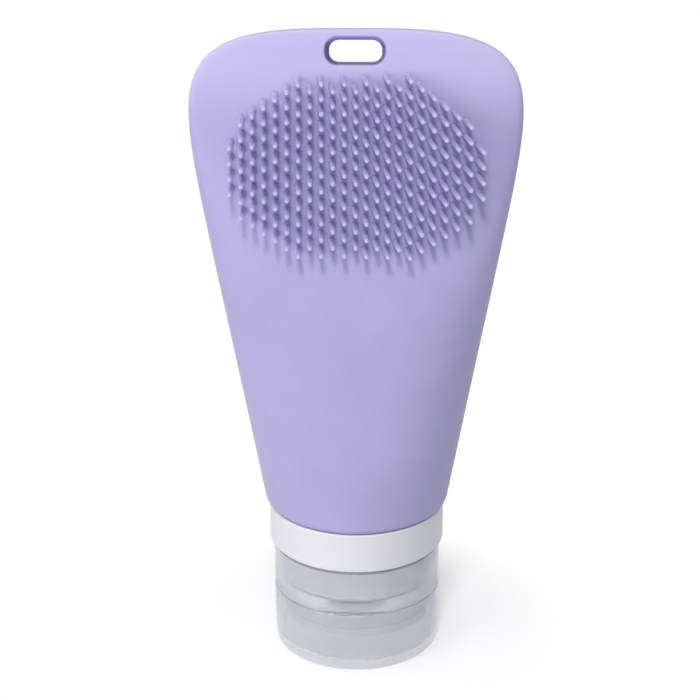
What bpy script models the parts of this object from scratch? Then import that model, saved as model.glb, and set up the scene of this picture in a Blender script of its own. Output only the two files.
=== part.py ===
"""Soft travel bottle that stands on its flip-top cap, with a field of scrubbing nubs on its front.

The bottle is drawn the way it stands: the lid's flat face is at z = 0, the hang slot is at the top,
the nubs face -Y and the lid's hinge is at +Y. The hardest form is the silicone shell, a loft that
starts as a round mouth and ends as a thin flat tab, with a staggered field of nubs on its front.
"""

import math

import bmesh
import bpy
from mathutils import Vector

MM = 0.001

# Clearances
GAP = 0.3 * MM                  # between pieces that touch on the real bottle
OVERRUN = 3.0 * MM              # how far a cutter runs past the face it opens

# Flip lid, from the surface that the bottle stands on
LID_HEIGHT = 15.0 * MM
LID_PLATE = 1.6 * MM
CAP_WALL = 1.6 * MM
LID_FOOT_FILLET = 1.2 * MM
LID_FOOT_TAPER = 0.25 * MM      # how much slimmer the lid is at its foot
PLUG_RADIUS = 4.4 * MM
PLUG_WALL = 1.1 * MM
PLUG_CHAMFER = 0.5 * MM
PLUG_CLEARANCE = 0.5 * MM       # round the plug, so that it swings out of the valve's ring

# Screw cap base
BASE_WALL_HEIGHT = 10.9 * MM
EDGE_FILLET = 0.4 * MM
DECK_ABOVE_SEAM = 2.6 * MM
DECK = 1.1 * MM
SPIGOT_WALL = 1.2 * MM
SPIGOT_DEPTH = 3.6 * MM
SKIRT_WALL = 1.5 * MM
MOAT = 1.9 * MM                 # between the threaded skirt and the outer wall
SKIRT_RIBS = 24
RIB_DEPTH = 0.6 * MM
RIB_WIDTH = 0.7 * MM
RIB_BELOW_RIM = 2.0 * MM
SCOOP_HALF_WIDTH = 9.5 * MM     # of the thumb scoop, where it meets the wall at the seam
SCOOP_HEIGHT = 4.4 * MM
SCOOP_DEPTH = 1.7 * MM
SCOOP_SIDES = 32
SCOOP_RING_SHARES = (0.4, 0.75, 1.15)

# Valve, its cup and its retaining ring
CUP_WALL = 1.5 * MM
CUP_DEPTH = 6.6 * MM
CUP_BEAD = 0.45 * MM
CUP_BEAD_HEIGHT = 0.6 * MM
VALVE_FLANGE = 1.3 * MM
VALVE_HEAD_CLEARANCE = 0.5 * MM
VALVE_MEMBRANE = 0.8 * MM
VALVE_DROP = 1.9 * MM           # how far the head hangs below the flange
VALVE_DISH = 0.7 * MM
VALVE_SLIT_LENGTH = 4.6 * MM
VALVE_SLIT_WIDTH = 0.15 * MM
VALVE_SIDES = 40
RETAINER_WALL = 1.8 * MM
DECK_LEDGE = 2.0 * MM           # how far the deck covers the valve's flange

# Neck insert, liner and collar
NECK_BORE_RADIUS = 12.5 * MM
NECK_WALL = 2.4 * MM
LINER = 1.0 * MM
LINER_LIP = 0.3 * MM            # the liner's bore is this much smaller than the neck's
FLANGE = 0.9 * MM
FLANGE_REACH = 2.6 * MM
BARB = 0.7 * MM
BARB_HEIGHT = 1.5 * MM
COLLAR_WALL = 2.8 * MM
COLLAR_HEIGHT = 9.5 * MM
COLLAR_LIP = 1.0 * MM
COLLAR_STANDOFF = 1.3 * MM      # from the cap's rim up to the collar
COLLAR_LIP_CLEARANCE = 0.4 * MM

# Silicone shell
BODY_HEIGHT = 114.3 * MM
MOUTH_LEDGE = 3.8 * MM          # from the sleeve out to the body's lower edge
SIDE_SPREAD = 0.179             # how much each side widens for each unit of height
SHELL_WALL = 2.0 * MM
MOUTH_FLOOR = 2.3 * MM
MOUTH_FILLET = 2.0 * MM
SLEEVE_WALL = 2.7 * MM
TAB_HALF_THICKNESS = 1.5 * MM
TAB_LENGTH = 6.1 * MM           # from the top edge down to where the front starts to swell
CROWN_START_BELOW_MOUTH = 14.8 * MM
CAVITY_BELOW_TOP = 16.0 * MM

# Exponents of the shell's formulas, and the counts of its mesh
SWELL_EXPONENT = 1.6
SWELL_END_EXPONENT = 1.2
CROWN_EXPONENT = 13.6
CORNER_EXPONENT = 3.27
ROUND_EXPONENT = 2.0
TAB_FACE_EXPONENT = 6.0
TAB_FACE_BLEND = 3.0
CORNER_BLEND_SHARE = 0.7
SHELL_SIDES = 48
TURNED_SIDES = 48
LOWER_RINGS = 9
CAVITY_RINGS = 7
CROWN_ANGLES = (80, 70, 60, 50, 40, 31, 23, 16, 10, 5, 2)
CAVITY_CROWN_ANGLES = (75, 60, 45, 30, 15, 5)
FILLET_STEPS = 4

# Hang slot
SLOT_LENGTH = 11.6 * MM
SLOT_HEIGHT = 5.5 * MM
SLOT_CORNER = 2.3 * MM
SLOT_BELOW_TOP = 2.3 * MM
SLOT_RIM_ROUND = 0.85 * MM
SLOT_CORNER_STEPS = 5

# Field of nubs and the slice of wall that carries it
NUB_COLUMN_PITCH = 2.5 * MM
NUB_ROW_PITCH = 3.35 * MM
NUB_LENGTH = 6.0 * MM
NUB_SIDE_EXTRA = 1.0 * MM        # how much longer the outermost nubs are, for flatter tips
NUB_ROOT_RADIUS = 0.75 * MM
NUB_TIP_RADIUS = 0.52 * MM
NUB_SIDES = 4
NUB_COLUMNS_EACH_WAY = 11
NUB_ROWS_EACH_WAY = 6
FIELD_SIDE_DROP = 0.8 * MM       # how far a row bows down at the field's sides
FIELD_ABOVE_SLICE_MIDDLE = 0.1 * MM
FIELD_COLUMNS_SHARE = 11.6      # half width and half height of the field, in columns and in rows
FIELD_ROWS_SHARE = 5.95
FIELD_EXPONENT = 2.4
SLICE = 0.8 * MM
SLICE_BELOW_SLOT = 1.4 * MM
SLICE_SIDE_MARGIN = 1.8 * MM
SLICE_END_MARGIN = 0.95 * MM
SLICE_EXPONENT = 4.5
SLICE_SIDES = 40
SLICE_RING_SHARES = (0.3, 0.55, 0.78, 1.0)

# Living hinge at the back of the cap
HINGE_STRAP_WIDTH = 9.0 * MM
HINGE_STRAP_THICKNESS = 0.5 * MM
HINGE_STRAP_BULGE = 1.3 * MM
HINGE_STRAP_HALF_HEIGHT = 1.9 * MM
HINGE_STRAP_STEPS = 8
HINGE_LAND_HEIGHT = 2.4 * MM
HINGE_LAND_PROUD = 0.9 * MM
HINGE_LAND_ROOT = 0.8 * MM      # how far a land reaches into the wall that carries it

# Heights and radii that follow
SEAM = LID_HEIGHT + GAP
BASE_RIM = SEAM + BASE_WALL_HEIGHT
DECK_UNDER = SEAM + DECK_ABOVE_SEAM
DECK_TOP = DECK_UNDER + DECK
LINER_UNDER = DECK_TOP + GAP
NECK_END = LINER_UNDER + LINER + GAP
COLLAR_UNDER = BASE_RIM + COLLAR_STANDOFF
COLLAR_TOP = COLLAR_UNDER + COLLAR_HEIGHT
FLANGE_UNDER = COLLAR_UNDER + COLLAR_LIP + GAP
FLANGE_TOP = FLANGE_UNDER + FLANGE
BODY_UNDER = COLLAR_TOP + GAP
BODY_TOP = BODY_UNDER + BODY_HEIGHT
FLOOR_TOP = BODY_UNDER + MOUTH_FLOOR
NECK_RADIUS = NECK_BORE_RADIUS + NECK_WALL
SLEEVE_BORE = NECK_RADIUS + GAP
SLEEVE_RADIUS = SLEEVE_BORE + SLEEVE_WALL
MOUTH_RADIUS = SLEEVE_RADIUS + MOUTH_LEDGE
COLLAR_BORE = SLEEVE_RADIUS + GAP
COLLAR_RADIUS = COLLAR_BORE + COLLAR_WALL
SKIRT_BORE = NECK_RADIUS + GAP
SKIRT_RADIUS = SKIRT_BORE + SKIRT_WALL
WALL_INSIDE = SKIRT_RADIUS + MOAT
CAP_RADIUS = WALL_INSIDE + CAP_WALL
SPIGOT_RADIUS = WALL_INSIDE - GAP
RETAINER_BORE = PLUG_RADIUS + PLUG_CLEARANCE
VALVE_HEAD_RADIUS = RETAINER_BORE - VALVE_HEAD_CLEARANCE
RETAINER_RADIUS = RETAINER_BORE + RETAINER_WALL
CUP_BORE = RETAINER_RADIUS + GAP
CUP_END = DECK_UNDER - CUP_DEPTH
FLANGE_SEAT = DECK_UNDER - GAP
VALVE_SEAT = FLANGE_SEAT - VALVE_FLANGE
VALVE_END = VALVE_SEAT - VALVE_DROP
HINGE_AXIS = Vector((0, CAP_RADIUS + HINGE_LAND_PROUD / 2, (LID_HEIGHT + SEAM) / 2))
TAB_START = BODY_TOP - TAB_LENGTH
CROWN_START = BODY_UNDER - CROWN_START_BELOW_MOUTH
SLOT_UNDER = BODY_TOP - SLOT_BELOW_TOP - SLOT_HEIGHT
SLOT_MIDDLE = SLOT_UNDER + SLOT_HEIGHT / 2
FIELD_EDGE = NUB_COLUMNS_EACH_WAY * NUB_COLUMN_PITCH
SLICE_HALF_WIDTH = FIELD_EDGE + SLICE_SIDE_MARGIN
SLICE_HALF_HEIGHT = (NUB_ROWS_EACH_WAY - 0.5) * NUB_ROW_PITCH + SLICE_END_MARGIN
SLICE_MIDDLE = SLOT_UNDER - SLICE_BELOW_SLOT - SLICE_HALF_HEIGHT
FIELD_MIDDLE = SLICE_MIDDLE + FIELD_ABOVE_SLICE_MIDDLE


def material(name, colour, roughness, metallic=0.0, alpha=1.0):
    """A Principled material in one colour."""
    made = bpy.data.materials.new(name)
    made.use_nodes = True
    made.diffuse_color = (*colour, alpha)
    surface = made.node_tree.nodes["Principled BSDF"]
    surface.inputs["Base Color"].default_value = (*colour, 1.0)
    surface.inputs["Roughness"].default_value = roughness
    surface.inputs["Metallic"].default_value = metallic
    surface.inputs["Alpha"].default_value = alpha
    return made


def world_place(point):
    """Where an empty stands, with the places of its parents added up."""
    place = Vector((0, 0, 0))
    while point:
        place += point.location
        point = point.parent
    return place


def object_from(name, bm, finish, axis=None):
    """Turns a bmesh in world places into a smooth-shaded object, on the empty that carries it."""
    bmesh.ops.recalc_face_normals(bm, faces=bm.faces)
    bmesh.ops.translate(bm, vec=-world_place(axis), verts=bm.verts)
    mesh = bpy.data.meshes.new(name)
    bm.to_mesh(mesh)
    bm.free()
    mesh.shade_smooth()
    mesh.set_sharp_from_angle(angle=math.radians(35))
    made = bpy.data.objects.new(name, mesh)
    bpy.context.scene.collection.objects.link(made)
    if finish:
        mesh.materials.append(finish)
    made.parent = axis
    return made


def helper(name, bm, axis=None):
    """An object that only cuts or joins, and isn't part of the bottle."""
    made = object_from(name, bm, None, axis)
    made.hide_render = True
    made.display_type = "WIRE"
    return made


def combine(target, other, operation):
    """Adds an exact Boolean modifier."""
    step = target.modifiers.new(f"{operation.lower()} {other.name}", "BOOLEAN")
    step.operation = operation
    step.solver = "EXACT"
    step.object = other


def turns(count):
    """Angles that share a full turn."""
    return [2 * math.pi * i / count for i in range(count)]


def arc(centre, radius, start, end, steps):
    """Points on an arc in the (r, z) plane, from one angle in degrees to another, ends included."""
    angles = [math.radians(start + (end - start) * i / steps) for i in range(steps + 1)]
    return [(centre[0] + radius * math.cos(a), centre[1] + radius * math.sin(a)) for a in angles]


def round_ring(radius, height, sides):
    return [(radius * math.cos(t), radius * math.sin(t), height) for t in turns(sides)]


def turned(outline, sides=TURNED_SIDES):
    """A closed (r, z) outline turned round the Z axis. Points on the axis become single vertices."""
    bm = bmesh.new()
    rings = []
    for radius, height in outline:
        if radius <= 0:
            rings.append([bm.verts.new((0, 0, height))])
            continue
        rings.append([bm.verts.new(p) for p in round_ring(radius, height, sides)])
    join_rings(bm, rings, closed=True)
    return bm


def join_rings(bm, rings, closed=False):
    """Fills the faces between neighbouring rings. A ring of one vertex is a pole."""
    pairs = list(zip(rings, rings[1:]))
    if closed:
        pairs.append((rings[-1], rings[0]))
    for first, second in pairs:
        count = max(len(first), len(second))
        if count == 1:
            continue
        for i in range(count):
            j = (i + 1) % count
            near = [first[i % len(first)], first[j % len(first)]]
            far = [second[j % len(second)], second[i % len(second)]]
            bm.faces.new(list(dict.fromkeys(near + far)))


def smooth_step(value):
    value = min(max(value, 0.0), 1.0)
    return value * value * (3 - 2 * value)


def shell_section(height, wall=0.0):
    """Half width, half thickness and the two exponents of the shell's section at a height."""
    along = (height - BODY_UNDER) / (TAB_START - BODY_UNDER)
    inside = min(max(along, 0.0), 1.0)
    half_width = MOUTH_RADIUS + SIDE_SPREAD * (height - BODY_UNDER)
    swell = (1 - inside**SWELL_EXPONENT) ** SWELL_END_EXPONENT
    half_thickness = TAB_HALF_THICKNESS + (MOUTH_RADIUS - TAB_HALF_THICKNESS) * swell
    corner = ROUND_EXPONENT + (CORNER_EXPONENT - ROUND_EXPONENT) * smooth_step(along / CORNER_BLEND_SHARE)
    face = ROUND_EXPONENT + (TAB_FACE_EXPONENT - ROUND_EXPONENT) * inside**TAB_FACE_BLEND
    return half_width - wall, half_thickness - wall, corner, face


def crown_left(height, top=BODY_TOP):
    """How much of the section is left below the crown: 1 on the straight sides, 0 at the top edge."""
    reach = (height - CROWN_START) / (top - CROWN_START)
    return 1 - min(max(reach, 0.0), 1.0) ** CROWN_EXPONENT


def crown_height(angle, top=BODY_TOP):
    """The height at which the square of the sine of the angle is left of the section."""
    left = math.sin(math.radians(angle)) ** 2
    return CROWN_START + (top - CROWN_START) * (1 - left) ** (1 / CROWN_EXPONENT)


def section_points(height, wall=0.0, top=BODY_TOP):
    """One ring of the shell: |x / w|^p + |y / b|^n equals what the crown leaves of the section."""
    half_width, half_thickness, corner, face = shell_section(height, wall)
    left = crown_left(height, top)
    points = []
    for turn in turns(SHELL_SIDES):
        c, s = math.cos(turn), math.sin(turn)
        x = half_width * (left * c * c) ** (1 / corner)
        y = half_thickness * (left * s * s) ** (1 / face)
        points.append((math.copysign(x, c), math.copysign(y, s), height))
    return points


def front_y(x, height):
    """The shell's front surface."""
    half_width, half_thickness, corner, face = shell_section(height)
    left = crown_left(height) - (abs(x) / half_width) ** corner
    return -half_thickness * max(left, 0.0) ** (1 / face)


def spaced(low, high, count):
    return [low + (high - low) * i / (count - 1) for i in range(count)]


def shell_rings():
    """Every ring of the shell, from the top edge down outside, round the sleeve and up the cavity."""
    crown = [crown_height(angle) for angle in CROWN_ANGLES]
    fillet_top = BODY_UNDER + MOUTH_FILLET
    rings = [[(0, 0, BODY_TOP)]]
    rings += [section_points(z) for z in reversed(crown)]
    rings += [section_points(z) for z in reversed(spaced(fillet_top, crown[0], LOWER_RINGS)[:-1])]
    edge = shell_section(fillet_top)[0]
    corner = arc((edge - MOUTH_FILLET, fillet_top), MOUTH_FILLET, 0, -90, FILLET_STEPS)
    sleeve_end = FLANGE_TOP + GAP
    mouth = corner[1:] + [
        (SLEEVE_RADIUS, BODY_UNDER),
        (SLEEVE_RADIUS, sleeve_end),
        (SLEEVE_BORE, sleeve_end),
        (SLEEVE_BORE, FLOOR_TOP),
    ]
    rings += [round_ring(radius, z, SHELL_SIDES) for radius, z in mouth]
    cavity_top = BODY_TOP - CAVITY_BELOW_TOP
    cavity_crown = [crown_height(angle, cavity_top) for angle in CAVITY_CROWN_ANGLES]
    walls = spaced(FLOOR_TOP, cavity_crown[0], CAVITY_RINGS)[:-1] + cavity_crown
    rings += [section_points(z, SHELL_WALL, cavity_top) for z in walls]
    rings.append([(0, 0, cavity_top)])
    return rings


def stadium(grow, across):
    """The hang slot's outline at a depth, grown by a length: a rectangle with round corners."""
    radius = SLOT_CORNER + grow
    half_length = SLOT_LENGTH / 2 - SLOT_CORNER
    half_height = SLOT_HEIGHT / 2 - SLOT_CORNER
    points = []
    for quarter, (side, end) in enumerate(((1, 1), (-1, 1), (-1, -1), (1, -1))):
        centre = (side * half_length, SLOT_MIDDLE + end * half_height)
        corner = arc(centre, radius, 90 * quarter, 90 * (quarter + 1), SLOT_CORNER_STEPS)
        points += [(x, across, z) for x, z in corner]
    return points


def slot_cutter():
    """The slot runs through the tab along Y and flares into a round rim at both faces."""
    face = abs(front_y(0, SLOT_MIDDLE))
    rim = arc((0, face - SLOT_RIM_ROUND), SLOT_RIM_ROUND, 0, 80, FILLET_STEPS)
    half = [(SLOT_RIM_ROUND - r, depth) for r, depth in rim]
    half.append((half[-1][0] + OVERRUN, half[-1][1] + OVERRUN))
    stations = [(grow, -depth) for grow, depth in reversed(half)] + half
    bm = bmesh.new()
    rings = [[bm.verts.new(p) for p in stadium(grow, across)] for grow, across in stations]
    join_rings(bm, rings)
    bm.faces.new(rings[0])
    bm.faces.new(rings[-1])
    return bm


def field_patch(grow, under, over):
    """A slab that follows the shell's front inside the field's outline, from under it to over it."""
    half_width, half_height = SLICE_HALF_WIDTH + grow, SLICE_HALF_HEIGHT + grow
    bm = bmesh.new()

    def ring(share, lift):
        made = []
        for turn in turns(SLICE_SIDES):
            c, s = math.cos(turn), math.sin(turn)
            x = math.copysign(half_width * share * abs(c) ** (2 / SLICE_EXPONENT), c)
            z = SLICE_MIDDLE + math.copysign(half_height * share * abs(s) ** (2 / SLICE_EXPONENT), s)
            made.append(bm.verts.new((x, front_y(x, z) - lift, z)))
        return made

    middle = front_y(0, SLICE_MIDDLE)
    front = [[bm.verts.new((0, middle - over, SLICE_MIDDLE))]]
    front += [ring(share, over) for share in SLICE_RING_SHARES]
    back = [ring(share, -under) for share in reversed(SLICE_RING_SHARES)]
    back.append([bm.verts.new((0, middle + under, SLICE_MIDDLE))])
    join_rings(bm, front + back)
    return bm


def nub_places():
    """Feet of the nubs: a staggered grid of bowed rows, kept where a rounded oval holds it."""
    for column in range(-NUB_COLUMNS_EACH_WAY, NUB_COLUMNS_EACH_WAY + 1):
        stagger = 0.5 if column % 2 else 0.0
        for step in range(-NUB_ROWS_EACH_WAY, NUB_ROWS_EACH_WAY + 1):
            row = step + stagger
            across = (abs(column) / FIELD_COLUMNS_SHARE) ** FIELD_EXPONENT
            if across + (abs(row) / FIELD_ROWS_SHARE) ** FIELD_EXPONENT <= 1:
                x = column * NUB_COLUMN_PITCH
                yield x, FIELD_MIDDLE + row * NUB_ROW_PITCH - FIELD_SIDE_DROP * (x / FIELD_EDGE) ** 2


def nub_field():
    """All nubs as closed cones with domed tips, each rooted in the middle of the slice."""
    bm = bmesh.new()
    for x, z in nub_places():
        foot = front_y(x, z)
        length = NUB_LENGTH + NUB_SIDE_EXTRA * (x / FIELD_EDGE) ** 2
        stations = (
            (foot + SLICE / 2, NUB_ROOT_RADIUS),
            (foot - length + NUB_TIP_RADIUS, NUB_TIP_RADIUS),
        )
        rings = []
        for y, radius in stations:
            spokes = [(radius * math.cos(t), radius * math.sin(t)) for t in turns(NUB_SIDES)]
            rings.append([bm.verts.new((x + side, y, z + up)) for side, up in spokes])
        rings.append([bm.verts.new((x, foot - length, z))])
        join_rings(bm, rings)
        bm.faces.new(rings[0])
    return bm


def make_bottle_body(finish):
    bm = bmesh.new()
    join_rings(bm, [[bm.verts.new(p) for p in ring] for ring in shell_rings()])
    body = object_from("bottle_body", bm, finish)
    combine(body, helper("slot_cutter", slot_cutter()), "DIFFERENCE")
    combine(body, helper("field_pocket_cutter", field_patch(GAP, SLICE + GAP, OVERRUN)), "DIFFERENCE")
    return body


def make_scrubber(finish):
    scrubber = object_from("scrubber_bristles", field_patch(0, SLICE, 0), finish)
    combine(scrubber, helper("nub_field", nub_field()), "UNION")
    return scrubber


def make_neck_insert(finish):
    """A rigid tube: plain end for the cap, a flange over the collar's lip, and a barb inside."""
    flange = NECK_RADIUS + FLANGE_REACH
    barb_under = FLOOR_TOP + GAP
    outline = [
        (NECK_BORE_RADIUS, NECK_END),
        (NECK_RADIUS - EDGE_FILLET, NECK_END),
        (NECK_RADIUS, NECK_END + EDGE_FILLET),
        (NECK_RADIUS, FLANGE_UNDER),
        (flange, FLANGE_UNDER),
        (flange, FLANGE_TOP),
        (NECK_RADIUS, FLANGE_TOP),
        (NECK_RADIUS, barb_under),
        (NECK_RADIUS + BARB, barb_under),
        (NECK_RADIUS, barb_under + BARB_HEIGHT),
        (NECK_BORE_RADIUS, barb_under + BARB_HEIGHT),
    ]
    return object_from("neck_insert", turned(outline), finish)


def make_collar(finish):
    """The white ring that holds the silicone sleeve on the neck."""
    lip = NECK_RADIUS + COLLAR_LIP_CLEARANCE
    under = arc((COLLAR_RADIUS - EDGE_FILLET, COLLAR_UNDER + EDGE_FILLET), EDGE_FILLET, -90, 0, FILLET_STEPS)
    top = arc((COLLAR_RADIUS - EDGE_FILLET, COLLAR_TOP - EDGE_FILLET), EDGE_FILLET, 0, 90, FILLET_STEPS)
    outline = [(lip, COLLAR_UNDER), *under, *top]
    lip_top = COLLAR_UNDER + COLLAR_LIP
    outline += [(COLLAR_BORE, COLLAR_TOP), (COLLAR_BORE, lip_top), (lip, lip_top)]
    return object_from("collar", turned(outline), finish)


def make_cap_liner(finish, axis):
    inner = NECK_BORE_RADIUS - LINER_LIP
    outer = NECK_RADIUS
    top = LINER_UNDER + LINER
    outline = [(inner, LINER_UNDER), (outer, LINER_UNDER), (outer, top), (inner, top)]
    return object_from("cap_liner", turned(outline), finish, axis)


def hinge_land(under):
    """A low block on the back wall that one end of the hinge strap is moulded to."""
    bm = bmesh.new()
    bmesh.ops.create_cube(bm, size=1)
    depth = HINGE_LAND_PROUD + HINGE_LAND_ROOT
    size = Vector((HINGE_STRAP_WIDTH, depth, HINGE_LAND_HEIGHT))
    middle = Vector((0, CAP_RADIUS + HINGE_LAND_PROUD - depth / 2, under + HINGE_LAND_HEIGHT / 2))
    bmesh.ops.scale(bm, vec=size, verts=bm.verts)
    bmesh.ops.translate(bm, vec=middle, verts=bm.verts)
    return bm


def skirt_ribs():
    """Short upright ribs on the outside of the threaded skirt, standing on the deck."""
    bm = bmesh.new()
    near, far = SKIRT_RADIUS - SKIRT_WALL / 2, SKIRT_RADIUS + RIB_DEPTH
    corners = ((near, -1), (far, -1), (far, 1), (near, 1))
    for turn in turns(SKIRT_RIBS):
        turn += math.pi / TURNED_SIDES
        out = Vector((math.cos(turn), math.sin(turn), 0))
        side = Vector((-math.sin(turn), math.cos(turn), 0))
        rings = []
        for z in (DECK_UNDER + DECK / 2, BASE_RIM - RIB_BELOW_RIM):
            lift = Vector((0, 0, z))
            ring = [out * radius + side * RIB_WIDTH / 2 * way + lift for radius, way in corners]
            rings.append([bm.verts.new(corner) for corner in ring])
        join_rings(bm, rings)
        bm.faces.new(rings[0])
        bm.faces.new(rings[1])
    return bm


def scoop_cutter():
    """A dish for the thumb that follows the round wall and is deepest at the seam."""
    bm = bmesh.new()

    def point(share, turn, radius):
        angle = share * math.cos(turn) * SCOOP_HALF_WIDTH / CAP_RADIUS
        z = SEAM + share * math.sin(turn) * SCOOP_HEIGHT
        return bm.verts.new((radius * math.sin(angle), -radius * math.cos(angle), z))

    rings = [[point(0, 0, CAP_RADIUS - SCOOP_DEPTH)]]
    for share in SCOOP_RING_SHARES:
        radius = CAP_RADIUS - SCOOP_DEPTH * (1 - share * share)
        rings.append([point(share, turn, radius) for turn in turns(SCOOP_SIDES)])
    front = CAP_RADIUS + OVERRUN
    rings.append([point(SCOOP_RING_SHARES[-1], turn, front) for turn in turns(SCOOP_SIDES)])
    rings.append([point(0, 0, front)])
    join_rings(bm, rings)
    return bm


def make_cap_base(finish, axis):
    """Outer wall, deck, threaded skirt, spigot for the lid and cup for the valve, in one turned body."""
    spigot_end = SEAM - SPIGOT_DEPTH
    spigot_bore = SPIGOT_RADIUS - SPIGOT_WALL
    cup_radius = CUP_BORE + CUP_WALL
    deck_bore = CUP_BORE - DECK_LEDGE
    rim = arc((CAP_RADIUS - EDGE_FILLET, BASE_RIM - EDGE_FILLET), EDGE_FILLET, 0, 90, FILLET_STEPS)
    outline = [
        (deck_bore, DECK_UNDER),
        (CUP_BORE, DECK_UNDER),
        (CUP_BORE, CUP_END + CUP_BEAD_HEIGHT),
        (CUP_BORE - CUP_BEAD, CUP_END + CUP_BEAD_HEIGHT / 2),
        (CUP_BORE, CUP_END),
        (cup_radius, CUP_END),
        (cup_radius, DECK_UNDER),
        (spigot_bore, DECK_UNDER),
        (spigot_bore, spigot_end),
        (SPIGOT_RADIUS - EDGE_FILLET, spigot_end),
        (SPIGOT_RADIUS, spigot_end + EDGE_FILLET),
        (SPIGOT_RADIUS, SEAM),
        (CAP_RADIUS, SEAM),
        *rim,
        (WALL_INSIDE, BASE_RIM),
        (WALL_INSIDE, DECK_TOP),
        (SKIRT_RADIUS, DECK_TOP),
        (SKIRT_RADIUS, BASE_RIM),
        (SKIRT_BORE, BASE_RIM),
        (SKIRT_BORE, DECK_TOP),
        (deck_bore, DECK_TOP),
    ]
    base = object_from("cap_base", turned(outline), finish, axis)
    land = helper("base_hinge_land", hinge_land(SEAM + HINGE_STRAP_HALF_HEIGHT), axis)
    combine(base, land, "UNION")
    combine(base, helper("skirt_ribs", skirt_ribs(), axis), "UNION")
    combine(base, helper("scoop_cutter", scoop_cutter(), axis), "DIFFERENCE")
    return base


def make_flip_lid(finish, hinge):
    """A cup with a flat outer face, and a ring inside that plugs the valve."""
    foot = CAP_RADIUS - LID_FOOT_TAPER
    corner = arc((foot - LID_FOOT_FILLET, LID_FOOT_FILLET), LID_FOOT_FILLET, -90, 0, FILLET_STEPS)
    plug_top = VALVE_END - GAP
    plug_bore = PLUG_RADIUS - PLUG_WALL
    outline = [
        (0, 0),
        *corner,
        (CAP_RADIUS, LID_HEIGHT),
        (WALL_INSIDE, LID_HEIGHT),
        (WALL_INSIDE - LID_FOOT_TAPER, LID_PLATE),
        (PLUG_RADIUS, LID_PLATE),
        (PLUG_RADIUS, plug_top - PLUG_CHAMFER),
        (PLUG_RADIUS - PLUG_CHAMFER, plug_top),
        (plug_bore, plug_top),
        (plug_bore, LID_PLATE),
        (0, LID_PLATE),
    ]
    lid = object_from("flip_lid", turned(outline), finish, hinge)
    land_under = LID_HEIGHT - HINGE_STRAP_HALF_HEIGHT - HINGE_LAND_HEIGHT
    combine(lid, helper("lid_hinge_land", hinge_land(land_under), hinge), "UNION")
    return lid


def make_living_hinge(finish, axis):
    """The thin strap between the two lands, folded outwards in a soft bow while the lid is shut."""
    bm = bmesh.new()
    middle = (LID_HEIGHT + SEAM) / 2
    half_height = SEAM + HINGE_STRAP_HALF_HEIGHT - GAP - middle
    rings = []
    for i in range(HINGE_STRAP_STEPS + 1):
        share = 2 * i / HINGE_STRAP_STEPS - 1
        bow = HINGE_STRAP_BULGE * (1 - share * share)
        near = CAP_RADIUS + HINGE_LAND_PROUD - HINGE_STRAP_THICKNESS + bow
        z = middle + share * half_height
        half = HINGE_STRAP_WIDTH / 2
        far = near + HINGE_STRAP_THICKNESS
        corners = ((-half, near), (half, near), (half, far), (-half, far))
        rings.append([bm.verts.new((x, y, z)) for x, y in corners])
    join_rings(bm, rings)
    bm.faces.new(rings[0])
    bm.faces.new(rings[-1])
    return object_from("living_hinge", bm, finish, axis)


def make_slit_valve(finish, axis):
    """A soft dished disc with a crossed slit, held by its flange."""
    inner = VALVE_HEAD_RADIUS - VALVE_MEMBRANE
    dish = VALVE_END + VALVE_MEMBRANE
    outline = [
        (0, VALVE_END + VALVE_DISH),
        (VALVE_HEAD_RADIUS / 2, VALVE_END + VALVE_DISH / 2),
        (inner, VALVE_END),
        (VALVE_HEAD_RADIUS, VALVE_END + VALVE_MEMBRANE / 2),
        (VALVE_HEAD_RADIUS, VALVE_SEAT),
        (RETAINER_RADIUS, VALVE_SEAT),
        (RETAINER_RADIUS, FLANGE_SEAT),
        (VALVE_HEAD_RADIUS, FLANGE_SEAT),
        (inner, dish + VALVE_MEMBRANE / 2),
        (VALVE_HEAD_RADIUS / 2, dish + VALVE_DISH / 2),
        (0, dish + VALVE_DISH),
    ]
    valve = object_from("slit_valve", turned(outline, VALVE_SIDES), finish, axis)
    slit = bmesh.new()
    for length, width in ((VALVE_SLIT_LENGTH, VALVE_SLIT_WIDTH), (VALVE_SLIT_WIDTH, VALVE_SLIT_LENGTH)):
        bar = bmesh.ops.create_cube(slit, size=1)["verts"]
        bmesh.ops.scale(slit, vec=(length, width, 2 * OVERRUN), verts=bar)
        bmesh.ops.translate(slit, vec=(0, 0, VALVE_END), verts=bar)
    combine(valve, helper("slit_cutter", slit, axis), "DIFFERENCE")
    return valve


def make_valve_retainer(finish, axis):
    """The ring that holds the valve's flange against the deck, behind the cup's bead."""
    top = VALVE_SEAT - GAP
    under = CUP_END + CUP_BEAD_HEIGHT + GAP
    outline = [
        (RETAINER_BORE, under),
        (RETAINER_RADIUS - EDGE_FILLET, under),
        (RETAINER_RADIUS, under + EDGE_FILLET),
        (RETAINER_RADIUS, top),
        (RETAINER_BORE, top),
    ]
    return object_from("valve_retainer", turned(outline, VALVE_SIDES), finish, axis)


def joint_axis(name, place, parent=None):
    """A named empty at a world place on a joint's axis, for the pieces that move with it."""
    made = bpy.data.objects.new(name, None)
    bpy.context.scene.collection.objects.link(made)
    made.empty_display_size = CAP_RADIUS / 2
    made.location = place - world_place(parent)
    made.parent = parent
    return made


def clear_scene():
    for old in list(bpy.data.objects):
        bpy.data.objects.remove(old)


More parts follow.
